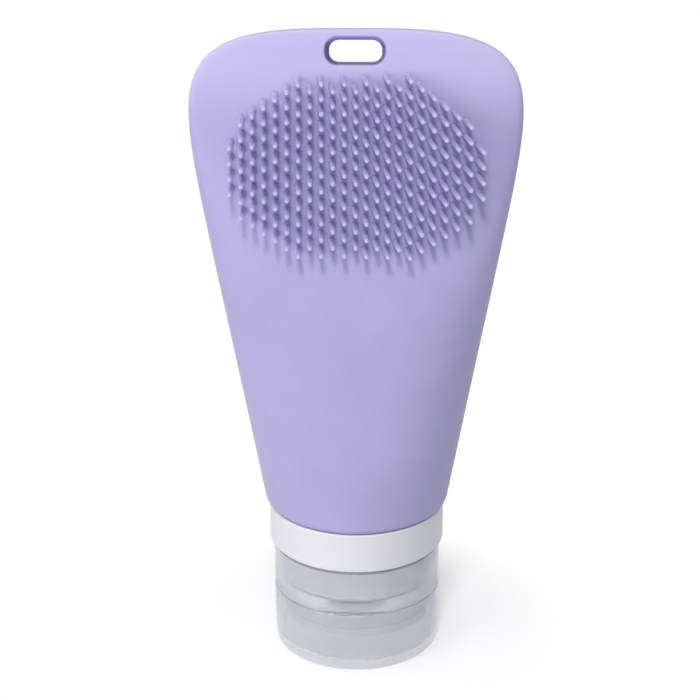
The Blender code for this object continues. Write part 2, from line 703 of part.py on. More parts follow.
def main():
    clear_scene()
    silicone = material("lavender silicone", (0.497, 0.456, 0.745), 0.55)
    clear = material("clear cap plastic", (0.72, 0.74, 0.82), 0.25, alpha=0.35)
    milky = material("milky white plastic", (0.78, 0.78, 0.80), 0.4)
    seal = material("white seal silicone", (0.85, 0.85, 0.86), 0.5)
    cap_lift = joint_axis("cap_lift_axis", Vector((0, 0, BASE_RIM)))
    cap_turn = joint_axis("cap_turn_axis", Vector((0, 0, BASE_RIM)), cap_lift)
    lid_hinge = joint_axis("lid_hinge_axis", HINGE_AXIS, cap_turn)
    make_bottle_body(silicone)
    make_scrubber(silicone)
    make_neck_insert(milky)
    make_collar(milky)
    make_cap_liner(seal, cap_lift)
    make_cap_base(clear, cap_turn)
    make_slit_valve(seal, cap_turn)
    make_valve_retainer(clear, cap_turn)
    make_living_hinge(clear, cap_turn)
    make_flip_lid(clear, lid_hinge)


main()
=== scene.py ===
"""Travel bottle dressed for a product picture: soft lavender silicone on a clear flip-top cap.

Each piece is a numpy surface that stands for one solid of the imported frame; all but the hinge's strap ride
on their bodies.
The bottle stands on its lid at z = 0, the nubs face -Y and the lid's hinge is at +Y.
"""

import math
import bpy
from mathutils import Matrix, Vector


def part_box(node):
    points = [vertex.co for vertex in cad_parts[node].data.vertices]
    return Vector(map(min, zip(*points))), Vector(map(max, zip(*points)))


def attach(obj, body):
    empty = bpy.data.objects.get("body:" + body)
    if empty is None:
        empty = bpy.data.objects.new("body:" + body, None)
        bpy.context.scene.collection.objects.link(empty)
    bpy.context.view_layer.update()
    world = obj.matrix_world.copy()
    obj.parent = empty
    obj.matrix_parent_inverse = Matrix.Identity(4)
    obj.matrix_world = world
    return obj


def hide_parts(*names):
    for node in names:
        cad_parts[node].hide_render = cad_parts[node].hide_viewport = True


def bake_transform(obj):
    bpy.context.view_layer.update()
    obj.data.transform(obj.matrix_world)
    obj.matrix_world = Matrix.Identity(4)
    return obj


bl_info = {
    "name": "Travel Bottle",
    "version": (1, 0, 0),
    "blender": (4, 5, 0),
    "location": "3D View > Sidebar > Travel Bottle",
    "description": "Builds the travel bottle's pieces, their finishes and the studio around them",
    "category": "Add Mesh",
}

import bmesh
import bpy
import numpy as np
from mathutils import Matrix, Vector

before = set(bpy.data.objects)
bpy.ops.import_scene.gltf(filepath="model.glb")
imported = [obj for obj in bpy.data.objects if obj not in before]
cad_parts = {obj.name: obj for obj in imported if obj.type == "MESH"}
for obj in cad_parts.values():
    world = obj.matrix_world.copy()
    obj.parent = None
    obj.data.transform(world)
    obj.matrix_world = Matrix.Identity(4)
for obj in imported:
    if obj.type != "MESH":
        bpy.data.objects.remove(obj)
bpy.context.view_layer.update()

MM = 0.001
FIT = 0.3 * MM                  # between pieces that touch on the real bottle


def low(node):
    """The lower corner of a solid's box."""
    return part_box(node)[0]


def high(node):
    """The upper corner of a solid's box."""
    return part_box(node)[1]


# Heights and radii read from the frame's solids
LID_HEIGHT = high("flip_lid").z
CAP_RADIUS = high("flip_lid").x
SEAM = LID_HEIGHT + FIT
BASE_RIM = high("cap_base").z
CUP_END = low("cap_base").z
COLLAR_UNDER, COLLAR_TOP = low("collar").z, high("collar").z
COLLAR_RADIUS = high("collar").x
NECK_END, BARB_TOP = low("neck_insert").z, high("neck_insert").z
SLEEVE_END, BODY_TOP = low("bottle_body").z, high("bottle_body").z
LINER_UNDER, LINER_TOP = low("cap_liner").z, high("cap_liner").z
NECK_RADIUS = high("cap_liner").x
VALVE_END, FLANGE_SEAT = low("slit_valve").z, high("slit_valve").z
RETAINER_UNDER, RETAINER_TOP = low("valve_retainer").z, high("valve_retainer").z
RETAINER_RADIUS = high("valve_retainer").x
STRAP_LOW, STRAP_HIGH = low("living_hinge").z, high("living_hinge").z
STRAP_OUT = high("living_hinge").y

# Sizes inside the solids, the same as in the part's source
CAP_WALL = 1.6 * MM
LID_PLATE = 1.6 * MM
LID_FOOT_TAPER = 0.25 * MM
PLUG_RADIUS, PLUG_WALL = 4.4 * MM, 1.1 * MM
DECK_UNDER, DECK_TOP = SEAM + 2.6 * MM, SEAM + 3.7 * MM
WALL_INSIDE = CAP_RADIUS - CAP_WALL
SPIGOT_RADIUS = WALL_INSIDE - FIT
SKIRT_BORE = NECK_RADIUS + FIT
SKIRT_RADIUS = SKIRT_BORE + 1.5 * MM
CUP_BORE = RETAINER_RADIUS + FIT
CUP_RADIUS = CUP_BORE + 1.5 * MM
DECK_BORE = CUP_BORE - 2.0 * MM
SCOOP_HALF_WIDTH, SCOOP_HEIGHT, SCOOP_DEPTH = 9.5 * MM, 4.4 * MM, 1.7 * MM
NECK_BORE = NECK_RADIUS - 2.4 * MM
FLANGE_UNDER = COLLAR_UNDER + 1.3 * MM
FLANGE_TOP = FLANGE_UNDER + 0.9 * MM
SLEEVE_BORE = NECK_RADIUS + FIT
SLEEVE_RADIUS = SLEEVE_BORE + 2.7 * MM
COLLAR_BORE = SLEEVE_RADIUS + FIT
COLLAR_LIP_BORE = NECK_RADIUS + 0.4 * MM
BODY_UNDER = COLLAR_TOP + FIT
MOUTH_RADIUS = SLEEVE_RADIUS + 3.8 * MM
FLOOR_TOP = BODY_UNDER + 2.3 * MM
SHELL_WALL = 2.0 * MM
SIDE_SPREAD = 0.179
TAB_HALF = 1.5 * MM
TAB_START = BODY_TOP - 6.1 * MM
CROWN_START = BODY_UNDER - 14.8 * MM
CROWN_POWER = 13.6
CAVITY_TOP = BODY_TOP - 16.0 * MM
SLOT_UNDER = BODY_TOP - 7.8 * MM
SLOT_MIDDLE = BODY_TOP - 5.05 * MM
HINGE_OUT = CAP_RADIUS + 0.9 * MM
HINGE_WIDTH = 9.0 * MM
COLUMN_PITCH, ROW_PITCH = 2.5 * MM, 3.35 * MM
SIDE_COLUMNS, SIDE_ROWS = 11, 6
FIELD_EDGE = SIDE_COLUMNS * COLUMN_PITCH
FIELD_MIDDLE = SLOT_UNDER - 2.25 * MM - 5.5 * ROW_PITCH

# Sizes that only the scene has, or that follow the photo more closely than the solids do
THREAD_PITCH = 3.0 * MM
RIB_FOOT, RIB_CREST = 0.42 * MM, 0.25 * MM      # half widths of a rib on the skirt
SPIGOT_BORE = SPIGOT_RADIUS - 1.7 * MM
SPIGOT_END = SEAM - 6.4 * MM
BEAD_SEAT = SPIGOT_RADIUS - 1.0 * MM            # foot of the recess for the frosted bead
SEAM_CLOSE, GAP_CLOSE = 0.22 * MM, 0.14 * MM    # what narrows the gaps at the lid's rim and at the collar
SLOT_LENGTH, SLOT_HEIGHT, SLOT_CORNER = 11.7 * MM, 5.1 * MM, 2.2 * MM

# Between these heights the shell has even rows of points, which hold the slot's block of cells
EVEN_TOP, EVEN_UNDER = BODY_TOP - 0.9 * MM, BODY_TOP - 12.9 * MM

# Between these heights the shell's lavender goes over into painted light: a paler lavender on the thin tab,
# standing in for light that passes through the thin silicone
TAB_LIGHT_UNDER, TAB_LIGHT_TOP = BODY_TOP - 23.6 * MM, BODY_TOP - 3.6 * MM

# The blocks on the back walls that hold the ends of the hinge's strap
LAND_HEIGHT, LAND_DEPTH = 2.4 * MM, 1.7 * MM
LAND_AWAY = 1.9 * MM            # between each block and the seam

# The painted shadow round the bottle's foot: the floor's own glow dims there. The glow grows between the
# first two distances from the shadow's middle, and the floor goes over into white between the other two
SHADE_MIDDLE = (2.5 * MM, 0, 0)
SHADE_LEVEL = 0.28
GLOW_GROWS, WHITE_GROWS = (14 * MM, 30 * MM), (28 * MM, 55 * MM)

# Places of the lamps, the sides of their squares, and half the floor's side, in metres
KEY_PLACE, KEY_SIDE = (-0.081, -1.154, 1.459), 0.36
FILL_PLACE, FILL_SIDE = (-0.92, -0.77, 0.18), 0.8
FLOOR_HALF = 3

# How far the camera turns off the bottle's axis and tilts to the side, as the photo's framing shows
CAMERA_YAW, CAMERA_ROLL = math.radians(0.209), math.radians(-0.195)


# Surfaces


class Skin:
    """Collects the points and faces of one piece as whole arrays."""

    def __init__(self):
        self.points, self.quads, self.triangles, self.count = [], [], [], 0

    def add(self, points):
        """Adds an array of points of any shape and returns their numbers in the same shape."""
        flat = points.reshape(-1, 3)
        numbers = np.arange(len(flat)).reshape(points.shape[:-1]) + self.count
        self.points.append(flat)
        self.count += len(flat)
        return numbers

    def sheet(self, grid, around=True, along=False):
        """Faces between neighbours of a grid of numbers, closed round its columns or its rows."""
        if around:
            grid = np.concatenate([grid, grid[..., :1]], axis=-1)
        if along:
            grid = np.concatenate([grid, grid[..., :1, :]], axis=-2)
        near, far = grid[..., :-1, :], grid[..., 1:, :]
        faces = np.stack([near[..., :-1], near[..., 1:], far[..., 1:], far[..., :-1]], axis=-1)
        self.quads.append(faces.reshape(-1, 4))

    def fan(self, ring, pole):
        """Triangles from each closed ring of numbers to its pole."""
        after = np.roll(ring, -1, axis=-1)
        pole = np.broadcast_to(np.asarray(pole)[..., None], ring.shape)
        self.triangles.append(np.stack([ring, after, pole], axis=-1).reshape(-1, 3))

    def tube(self, rings, ends):
        """Closed rings in a row, joined, and closed at both ends with fans to two points."""
        grid, poles = self.add(rings), self.add(ends)
        self.sheet(grid)
        self.fan(grid[0], poles[0])
        self.fan(grid[-1], poles[1])

    def finish(self, name):
        """Puts the arrays into a mesh whose faces point outwards."""
        quads = np.concatenate(self.quads) if self.quads else np.zeros((0, 4), int)
        triangles = np.concatenate(self.triangles) if self.triangles else np.zeros((0, 3), int)
        corners = np.concatenate([quads.ravel(), triangles.ravel()])
        starts = np.concatenate([np.arange(len(quads)) * 4, len(quads) * 4 + np.arange(len(triangles)) * 3])
        mesh = bpy.data.meshes.new(name)
        mesh.vertices.add(self.count)
        mesh.vertices.foreach_set("co", np.concatenate(self.points).astype(np.float32).ravel())
        mesh.loops.add(len(corners))
        mesh.loops.foreach_set("vertex_index", corners.astype(np.int32))
        mesh.polygons.add(len(starts))
        mesh.polygons.foreach_set("loop_start", starts.astype(np.int32))
        mesh.update(calc_edges=True)
        mesh.validate()
        face_out(mesh)
        return mesh


def face_out(mesh):
    """Turns the faces of a closed mesh outwards and shades it smooth."""
    bm = bmesh.new()
    bm.from_mesh(mesh)
    bmesh.ops.recalc_face_normals(bm, faces=bm.faces)
    bm.to_mesh(mesh)
    bm.free()
    mesh.shade_smooth()


def smooth_step(value):
    """3v^2 - 2v^3 between 0 and 1, flat outside."""
    value = np.clip(value, 0, 1)
    return value * value * (3 - 2 * value)


def soft_outline(corners, radii, steps=4, support=0.12 * MM, closed=True):
    """Rounds each corner of an (r, z) outline with an arc of its own radius.

    The arc's ends lie radius / tan(half the corner's angle) from the corner, at most 0.42 of the
    shorter side. A point just past each end keeps the flat beside the arc flat when it is shaded.
    An open outline keeps its two ends.
    """
    p = np.asarray(corners, float)
    radii = np.broadcast_to(np.asarray(radii, float), len(p))
    back, ahead = np.roll(p, 1, 0) - p, np.roll(p, -1, 0) - p
    back_length, ahead_length = np.linalg.norm(back, axis=1), np.linalg.norm(ahead, axis=1)
    back, ahead = back / back_length[:, None], ahead / ahead_length[:, None]
    angle = np.arccos(np.clip((back * ahead).sum(1), -1, 1))
    reach = np.minimum(radii / np.tan(angle / 2), 0.42 * np.minimum(back_length, ahead_length))
    radius = reach * np.tan(angle / 2)
    middle = back + ahead
    middle /= np.linalg.norm(middle, axis=1)[:, None]
    centre = p + middle * (radius / np.sin(angle / 2))[:, None]
    start, end = p + back * reach[:, None] - centre, p + ahead * reach[:, None] - centre
    sweep = (math.pi - angle)[:, None]
    share = np.linspace(0, 1, steps + 1)[None]
    first, second = np.sin((1 - share) * sweep) / np.sin(sweep), np.sin(share * sweep) / np.sin(sweep)
    arcs = centre[:, None] + start[:, None] * first[..., None] + end[:, None] * second[..., None]
    before = p + back * np.minimum(reach + support, 0.47 * back_length)[:, None]
    after = p + ahead * np.minimum(reach + support, 0.47 * ahead_length)[:, None]
    rounded = np.concatenate([before[:, None], arcs, after[:, None]], axis=1)
    if closed:
        return rounded.reshape(-1, 2)
    return np.concatenate([p[:1], rounded[1:-1].reshape(-1, 2), p[-1:]])


def refined(points, spacing, closed=True):
    """Splits every span of an outline into equal steps no longer than the spacing."""
    spans = (np.roll(points, -1, 0) - points) if closed else np.diff(points, axis=0)
    counts = np.maximum(1, np.ceil(np.linalg.norm(spans, axis=1) / spacing)).astype(int)
    span = np.repeat(np.arange(len(counts)), counts)
    step = np.arange(len(span)) - np.repeat(np.cumsum(counts) - counts, counts)
    made = points[span] + spans[span] * (step / counts[span])[:, None]
    return made if closed else np.concatenate([made, points[-1:]])


def turned(name, outline, angles, shape=None, closed=True):
    """The mesh of an (r, z) outline turned round Z: x = r cos a, y = r sin a.

    shape(r, a, z) may move the radius of each point. An open outline starts and ends on the axis,
    where its ends become single points.
    """
    r, z = np.broadcast_arrays(outline[:, 0, None], outline[:, 1, None])
    r, a = np.broadcast_arrays(r, angles[None])
    z = np.broadcast_to(z, r.shape)
    if shape:
        r = shape(r, a, z)
    points = np.stack([r * np.cos(a), r * np.sin(a), z], axis=-1)
    skin = Skin()
    if closed:
        skin.sheet(skin.add(points), along=True)
    else:
        skin.tube(points[1:-1], points[[0, -1], 0])
    return skin.finish(name)


def even_turn(count):
    """Evenly spaced angles once round, from 0."""
    return np.arange(count) * (2 * math.pi / count)


def block(name, centre, half, edge=0.14, steps=24):
    """A box with soft edges: cos and sin of two angles, raised to a small power, times the half sizes."""
    across = even_turn(2 * steps)[None]
    up = np.linspace(-math.pi / 2, math.pi / 2, steps + 1)[1:-1, None]

    def soft(value):
        return np.sign(value) * np.abs(value) ** edge

    x = soft(np.cos(up)) * soft(np.cos(across))
    y = soft(np.cos(up)) * soft(np.sin(across))
    z = np.broadcast_to(soft(np.sin(up)), x.shape)
    rings, ends = np.stack([x, y, z], axis=-1), np.array([[0, 0, -1.0], [0, 0, 1.0]])
    half, centre = np.array(half), np.array(centre)
    skin = Skin()
    skin.tube(rings * half + centre, ends * half + centre)
    return skin.finish(name)


# The silicone shell


def section(z, wall=0.0):
    """Half width, half thickness and the two exponents of the shell's section at heights z.

    The half width grows evenly with height. The half thickness falls from the mouth's radius to the
    tab's by (1 - u^1.6)^1.2, where u runs from 0 at the mouth to 1 at the tab.
    """
    along = (z - BODY_UNDER) / (TAB_START - BODY_UNDER)
    inside = np.clip(along, 0, 1)
    half_width = MOUTH_RADIUS + SIDE_SPREAD * (z - BODY_UNDER)
    half_thickness = TAB_HALF + (MOUTH_RADIUS - TAB_HALF) * (1 - inside**1.6) ** 1.2
    corner = 2 + 1.27 * smooth_step(along / 0.7)
    face = 2 + 4 * inside**3
    return half_width - wall, half_thickness - wall, corner, face


def crown_left(z, top=BODY_TOP):
    """What the crown leaves of the section: 1 - v^13.6, where v runs from 0 below to 1 at the top edge."""
    return 1 - np.clip((z - CROWN_START) / (top - CROWN_START), 0, 1) ** CROWN_POWER


def front_depth(x, z):
    """Distance from the middle plane to the front face at x, z: b (left - |x / w|^p)^(1 / n)."""
    half_width, half_thickness, corner, face = section(z)
    left = crown_left(z) - (np.abs(x) / half_width) ** corner
    return half_thickness * np.maximum(left, 0) ** (1 / face)


def shell_rings(z, columns, wall=0.0, top=BODY_TOP):
    """Rings |x / w|^p + |y / b|^n = left, with more points where the section bends.

    A quarter is worked out finely from the side to the middle of the front, measured by its length
    plus a share of its turning, cut into equal parts of that measure, and mirrored three times.
    """
    z = np.asarray(z, float)
    half_width, half_thickness, corner, face = (v[:, None] for v in section(z, wall))
    left = crown_left(z, top)[:, None]
    t = np.linspace(0, math.pi / 2, 3001)[None]
    x = half_width * (left * np.cos(t) ** 2) ** (1 / corner)
    y = half_thickness * (left * np.sin(t) ** 2) ** (1 / face)
    dx, dy = np.diff(x, axis=1), np.diff(y, axis=1)
    heading = np.unwrap(np.arctan2(dy, dx), axis=1)
    turning = np.abs(np.diff(heading, axis=1, prepend=heading[:, :1]))
    measure = np.cumsum(np.hypot(dx, dy) + 6 * MM * turning, axis=1)
    measure = np.concatenate([np.zeros((len(z), 1)), measure], axis=1)
    wanted = np.linspace(0, 1, columns // 4 + 1)
    cuts = np.array([np.interp(wanted * m[-1], m, np.arange(len(m))) for m in measure])
    index = np.minimum(cuts.astype(int), x.shape[1] - 2)
    share, rows = cuts - index, np.arange(len(z))[:, None]
    qx = x[rows, index] * (1 - share) + x[rows, index + 1] * share
    qy = y[rows, index] * (1 - share) + y[rows, index + 1] * share
    ring_x = np.concatenate([qx[:, :-1], -qx[:, :0:-1], -qx[:, :-1], qx[:, :0:-1]], axis=1)
    ring_y = np.concatenate([-qy[:, :-1], -qy[:, :0:-1], qy[:, :-1], qy[:, :0:-1]], axis=1)
    return np.stack([ring_x, ring_y, np.broadcast_to(z[:, None], ring_x.shape)], axis=-1)


def oval_rings(radii_x, radii_y, z, columns):
    """Rings that start at the +X side and pass the front, like the shell's own."""
    t = even_turn(columns)[None]
    radii_x, radii_y, z = (np.asarray(v, float)[:, None] for v in (radii_x, radii_y, z))
    return np.stack([radii_x * np.cos(t), -radii_y * np.sin(t), z + 0 * t], axis=-1)


def slot_outline(x, z, grow):
    """Moves points outside the slot to its outline, grown by a length: a core rectangle plus a radius."""
    core = np.array([SLOT_LENGTH / 2 - SLOT_CORNER, SLOT_HEIGHT / 2 - SLOT_CORNER])
    place = np.stack([x, z - SLOT_MIDDLE], axis=-1)
    held = np.clip(place, -core, core)
    away = place - held
    away /= np.linalg.norm(away, axis=-1)[..., None]
    made = held + away * (SLOT_CORNER + np.asarray(grow)[..., None])
    return made[..., 0], made[..., 1] + SLOT_MIDDLE


def slot_sheets(skin, grid, rings, z, rim):
    """Opens the hang slot in the front and back of the shell's grid and returns the grid's open cells.

    A block of cells round the slot is left out. Sheets run from its border in to the slot's outline,
    over a rim that is a quarter circle in depth, and through the tab to the same rim at the back.
    """
    columns = grid.shape[1]
    front, back, reach = columns // 4, 3 * columns // 4, 17
    top, under = np.argmin(np.abs(z - EVEN_TOP)), np.argmin(np.abs(z - (SLOT_UNDER - 3.2 * MM)))
    loops = []
    for middle, way in ((front, 1), (back, -1)):
        a, b = middle - way * reach, middle + way * reach
        across = np.arange(a, b, way)
        down = np.arange(top, under)
        loops.append(np.concatenate([
            grid[top, across], grid[down, b], grid[under, across + way][::-1], grid[down + 1, a][::-1],
        ]))
    border = rings.reshape(-1, 3)[loops[0] - grid[0, 0]]
    x, height = border[:, 0], border[:, 2]
    edge_x, edge_z = slot_outline(x, height, rim)
    shares = np.linspace(0, 1, 7)[1:, None]
    flat_x, flat_z = x + (edge_x - x) * shares, height + (edge_z - height) * shares
    flat_y = front_depth(flat_x, flat_z)
    angle = np.linspace(0, math.pi / 2, 7)[1:, None]
    rim_x, rim_z = slot_outline(x[None], height[None], rim * (1 - np.sin(angle)))
    rim_y = front_depth(rim_x, rim_z) - rim * (1 - np.cos(angle))
    sheet_x, sheet_z = np.concatenate([flat_x, rim_x]), np.concatenate([flat_z, rim_z])
    sheet_y = np.concatenate([flat_y, rim_y])
    ends = []
    for loop, side in zip(loops, (-1, 1)):
        made = skin.add(np.stack([sheet_x, side * sheet_y, sheet_z], axis=-1))
        skin.sheet(np.concatenate([loop[None], made]))
        ends.append(made[-1])
    inner = np.linspace(-1, 1, 4)[1:-1, None] * rim_y[-1]
    through = skin.add(np.stack([rim_x[-1] + 0 * inner, inner, rim_z[-1] + 0 * inner], axis=-1))
    skin.sheet(np.concatenate([ends[0][None], through, ends[1][None]]))
    open_cells = np.zeros((grid.shape[0] - 1, columns), bool)
    for middle in (front, back):
        open_cells[top:under, middle - reach:middle + reach] = True
    return open_cells


def shell_mesh(sizes):
    """Outside from the top edge to the mouth, the sleeve that hangs over the neck, and the cavity."""
    columns = 256
    left = np.sin(np.radians([0.25, 0.6, 1.1, 1.8, 2.7, 3.8, 5.2, 7, 9, 11.5, 14.5])) ** 2
    crown = CROWN_START + (BODY_TOP - CROWN_START) * (1 - left) ** (1 / CROWN_POWER)
    lean = math.atan(SIDE_SPREAD)
    fillet = 2.0 * MM
    fillet_top = BODY_UNDER + fillet * (1 - math.sin(lean))
    z = np.concatenate([
        crown,
        np.linspace(EVEN_TOP, EVEN_UNDER, 21),
        np.linspace(EVEN_UNDER, fillet_top, 100)[1:],
    ])
    outside = shell_rings(z, columns)
    width, depth = (v[-1] for v in section(z)[:2])
    turn = np.radians(np.linspace(-math.degrees(lean), -90, 10))[1:]
    inset = fillet * (math.cos(lean) - np.cos(turn))
    fillet_z = BODY_UNDER + fillet + fillet * np.sin(turn)
    corner = oval_rings(width - inset, depth - inset, fillet_z, columns)
    share = np.linspace(0, 1, 6)[1:]
    base_x = width - inset[-1] + (SLEEVE_RADIUS - width + inset[-1]) * share
    base_y = depth - inset[-1] + (SLEEVE_RADIUS - depth + inset[-1]) * share
    base = oval_rings(base_x, base_y, np.full(5, BODY_UNDER), columns)
    sleeve = refined(np.array([
        (SLEEVE_RADIUS, BODY_UNDER - 0.4 * MM), (SLEEVE_RADIUS, SLEEVE_END), (SLEEVE_BORE, SLEEVE_END),
        (SLEEVE_BORE, FLOOR_TOP), (MOUTH_RADIUS - 3.0 * MM, FLOOR_TOP),
    ]), 1.2 * MM, closed=False)
    sleeve = oval_rings(sleeve[:, 0], sleeve[:, 0], sleeve[:, 1], columns)
    cavity_left = np.sin(np.radians([75, 60, 47, 36, 26, 18, 12, 7, 4, 2, 0.8])) ** 2
    cavity_crown = CROWN_START + (CAVITY_TOP - CROWN_START) * (1 - cavity_left) ** (1 / CROWN_POWER)
    cavity_z = np.concatenate([np.linspace(FLOOR_TOP + 0.3 * MM, cavity_crown[0], 40)[:-1], cavity_crown])
    cavity = shell_rings(cavity_z, columns, SHELL_WALL, CAVITY_TOP)
    rings = np.concatenate([outside, corner, base, sleeve, cavity])
    skin = Skin()
    grid = skin.add(rings)
    poles = skin.add(np.array([[0, 0, BODY_TOP], [0, 0, CAVITY_TOP]]))
    open_cells = slot_sheets(skin, grid, rings, z, sizes.slot_rim)
    wide = np.concatenate([grid, grid[:, :1]], axis=1)
    cells = np.stack([wide[:-1, :-1], wide[:-1, 1:], wide[1:, 1:], wide[1:, :-1]], axis=-1)
    skin.quads.append(cells[~open_cells])
    skin.fan(grid[0], poles[0])
    skin.fan(grid[-1], poles[1])
    return skin.finish("silicone_shell")


# The nubs


def nub_places():
    """Feet of the nubs: columns and staggered rows, kept where |column / 11.6|^2.4 + |row / 5.95|^2.4 <= 1.

    A row bows down towards the sides by 0.8 mm times (x / edge)^2.
    """
    columns = np.arange(-SIDE_COLUMNS, SIDE_COLUMNS + 1)
    column, step = np.meshgrid(columns, np.arange(-SIDE_ROWS, SIDE_ROWS + 1), indexing="ij")
    row = step + 0.5 * (column % 2)
    kept = (np.abs(column) / 11.6) ** 2.4 + (np.abs(row) / 5.95) ** 2.4 <= 1
    x = column[kept] * COLUMN_PITCH
    return x, FIELD_MIDDLE + row[kept] * ROW_PITCH - 0.8 * MM * (x / FIELD_EDGE) ** 2


def nubs_mesh(sizes):
    """Round tapered pegs with a flared foot and a domed tip, side by side in one mesh.

    A peg runs along (sin a, -cos a, 0) with a = 7 + 5 s degrees, s = x / edge, because the soft nubs in
    the photo lean to the right. Against the even grid its tip moves right by
    0.4 + 0.5 s + 0.1 s^2 - 0.68 h mm, h = sin(pi s) at the right half and 0 at the left one, and down by
    (0.9 in the upper half, 0.45 in the lower half) t^2 + 0.3 s + 0.3 s^2 - 1.2 h max(t, 0) mm, where
    t = row / edge row. Its length grows by 1 mm times s^2. "reach" holds how far along each point is.
    """
    tip_x, z = nub_places()
    share = tip_x / FIELD_EDGE
    over = (z - FIELD_MIDDLE) / (SIDE_ROWS * ROW_PITCH)
    half = np.sin(math.pi * np.maximum(share, 0))
    fall = np.where(over > 0, 0.9, 0.45) * over**2 + 0.3 * share + 0.3 * share**2
    z = z - MM * (fall - 1.2 * half * np.maximum(over, 0))
    tip_x = tip_x + MM * (0.4 + 0.5 * share + 0.1 * share**2 - 0.68 * half)
    lean = np.radians(7 + 5 * share)
    root, tip = sizes.nub_root_radius, sizes.nub_tip_radius
    length = sizes.nub_length + 1.0 * MM * share**2
    x = tip_x - length * np.sin(lean)
    foot = np.stack([x, -front_depth(x, z), z], axis=-1)
    along = np.stack([np.sin(lean), -np.cos(lean), 0 * lean], axis=-1)
    side = np.stack([np.cos(lean), np.sin(lean), 0 * lean], axis=-1)
    start = np.array([-0.5, 0.4, 1.4]) * MM
    dome = np.radians([0, 35, 68])
    domed = length[:, None] - tip + tip * np.sin(dome)
    reach = np.concatenate([np.broadcast_to(start, (len(x), len(start))), domed], axis=1)
    radius = np.concatenate([
        [root * 1.25, root * 1.05, root - (root - tip) * 0.25], tip * np.cos(dome),
    ])
    turn = even_turn(8)[:, None]
    spokes = side[:, None] * np.cos(turn) + np.array([0, 0, 1.0]) * np.sin(turn)
    centres = foot[:, None] + along[:, None] * reach[..., None]
    rings = centres[:, :, None] + radius[None, :, None, None] * spokes[:, None]
    skin = Skin()
    grid = skin.add(rings)
    tips = skin.add(foot + along * length[:, None])
    roots = skin.add(foot - along * 0.5 * MM)
    skin.sheet(grid)
    skin.fan(grid[:, -1], tips)
    skin.fan(grid[:, 0], roots)
    mesh = skin.finish("scrubbing_nubs")
    shares = np.clip(reach / length[:, None], 0, 1)
    shares = np.repeat(shares[:, :, None], len(turn), axis=2).ravel()
    shares = np.concatenate([shares, np.ones(len(tips)), np.zeros(len(roots))])
    mesh.attributes.new("reach", "FLOAT", "POINT").data.foreach_set("value", shares.astype(np.float32))
    return mesh


# The neck, the collar and the cap


def thread_wave(a, z):
    """A right-handed thread: a soft square wave of z / pitch - a / 2 pi, between -1 and 1."""
    steep = 2.6
    phase = 2 * math.pi * (z / THREAD_PITCH - a / (2 * math.pi))
    return np.tanh(steep * np.cos(phase)) / math.tanh(steep)


def neck_mesh(sizes):
    """A tube with a thread outside its lower end, a flange over the collar's lip and a barb."""
    outline = [
        (NECK_BORE, NECK_END), (NECK_RADIUS - 0.35 * MM, NECK_END), (NECK_RADIUS, NECK_END + 0.5 * MM),
        (NECK_RADIUS, FLANGE_UNDER), (NECK_RADIUS + 2.6 * MM, FLANGE_UNDER),
        (NECK_RADIUS + 2.6 * MM, FLANGE_TOP), (NECK_RADIUS, FLANGE_TOP),
        (NECK_RADIUS, FLOOR_TOP + FIT), (NECK_RADIUS + 0.7 * MM, FLOOR_TOP + FIT),
        (NECK_RADIUS, BARB_TOP), (NECK_BORE, BARB_TOP),
    ]
    outline = refined(soft_outline(outline, 0.2 * MM), 0.3 * MM)

    def threaded(r, a, z):
        outer = (r > NECK_RADIUS - 0.6 * MM) & (z < FLANGE_UNDER - 0.1 * MM)
        end = smooth_step((z - NECK_END - 0.6 * MM) / (0.9 * MM))
        fade = 1 - smooth_step((z - BASE_RIM) / (1.0 * MM))
        rise = (thread_wave(a, z) + 1) * end - 1
        skinward = np.clip((r - NECK_RADIUS) / (0.6 * MM) + 1, 0, 1)
        return r + np.where(outer, sizes.thread_half_height * rise * fade * skinward, 0)

    return turned("neck_tube", outline, even_turn(180), threaded)


def collar_mesh(sizes):
    """The plain milky ring with soft edges, its top raised by GAP_CLOSE to narrow the gap to the body."""
    top, lip_top = COLLAR_TOP + GAP_CLOSE, COLLAR_UNDER + 1.0 * MM
    outline = [
        (COLLAR_LIP_BORE, COLLAR_UNDER), (COLLAR_RADIUS, COLLAR_UNDER), (COLLAR_RADIUS, top),
        (COLLAR_BORE, top), (COLLAR_BORE, lip_top), (COLLAR_LIP_BORE, lip_top),
    ]
    edge = sizes.edge_round
    radii = np.array([0.15 * MM, 0.2 * MM, edge, 0.2 * MM, 0.2 * MM, 0.15 * MM])
    return turned("milky_collar", refined(soft_outline(outline, radii, steps=6), 1.5 * MM), even_turn(192))


def liner_mesh():
    """A flat ring between the neck's end and the cap's deck."""
    outline = [
        (NECK_BORE - 0.3 * MM, LINER_UNDER), (NECK_RADIUS, LINER_UNDER),
        (NECK_RADIUS, LINER_TOP), (NECK_BORE - 0.3 * MM, LINER_TOP),
    ]
    return turned("liner_ring", soft_outline(outline, 0.2 * MM), even_turn(128))


def base_angles(ribs):
    """Angles round the cap: 5 for each rib, at its feet, the edges of its crest and halfway to the next."""
    on_rib = np.array([-RIB_FOOT, -RIB_CREST, RIB_CREST, RIB_FOOT]) / SKIRT_RADIUS
    return (even_turn(ribs)[:, None] + np.append(on_rib, math.pi / ribs)).ravel()


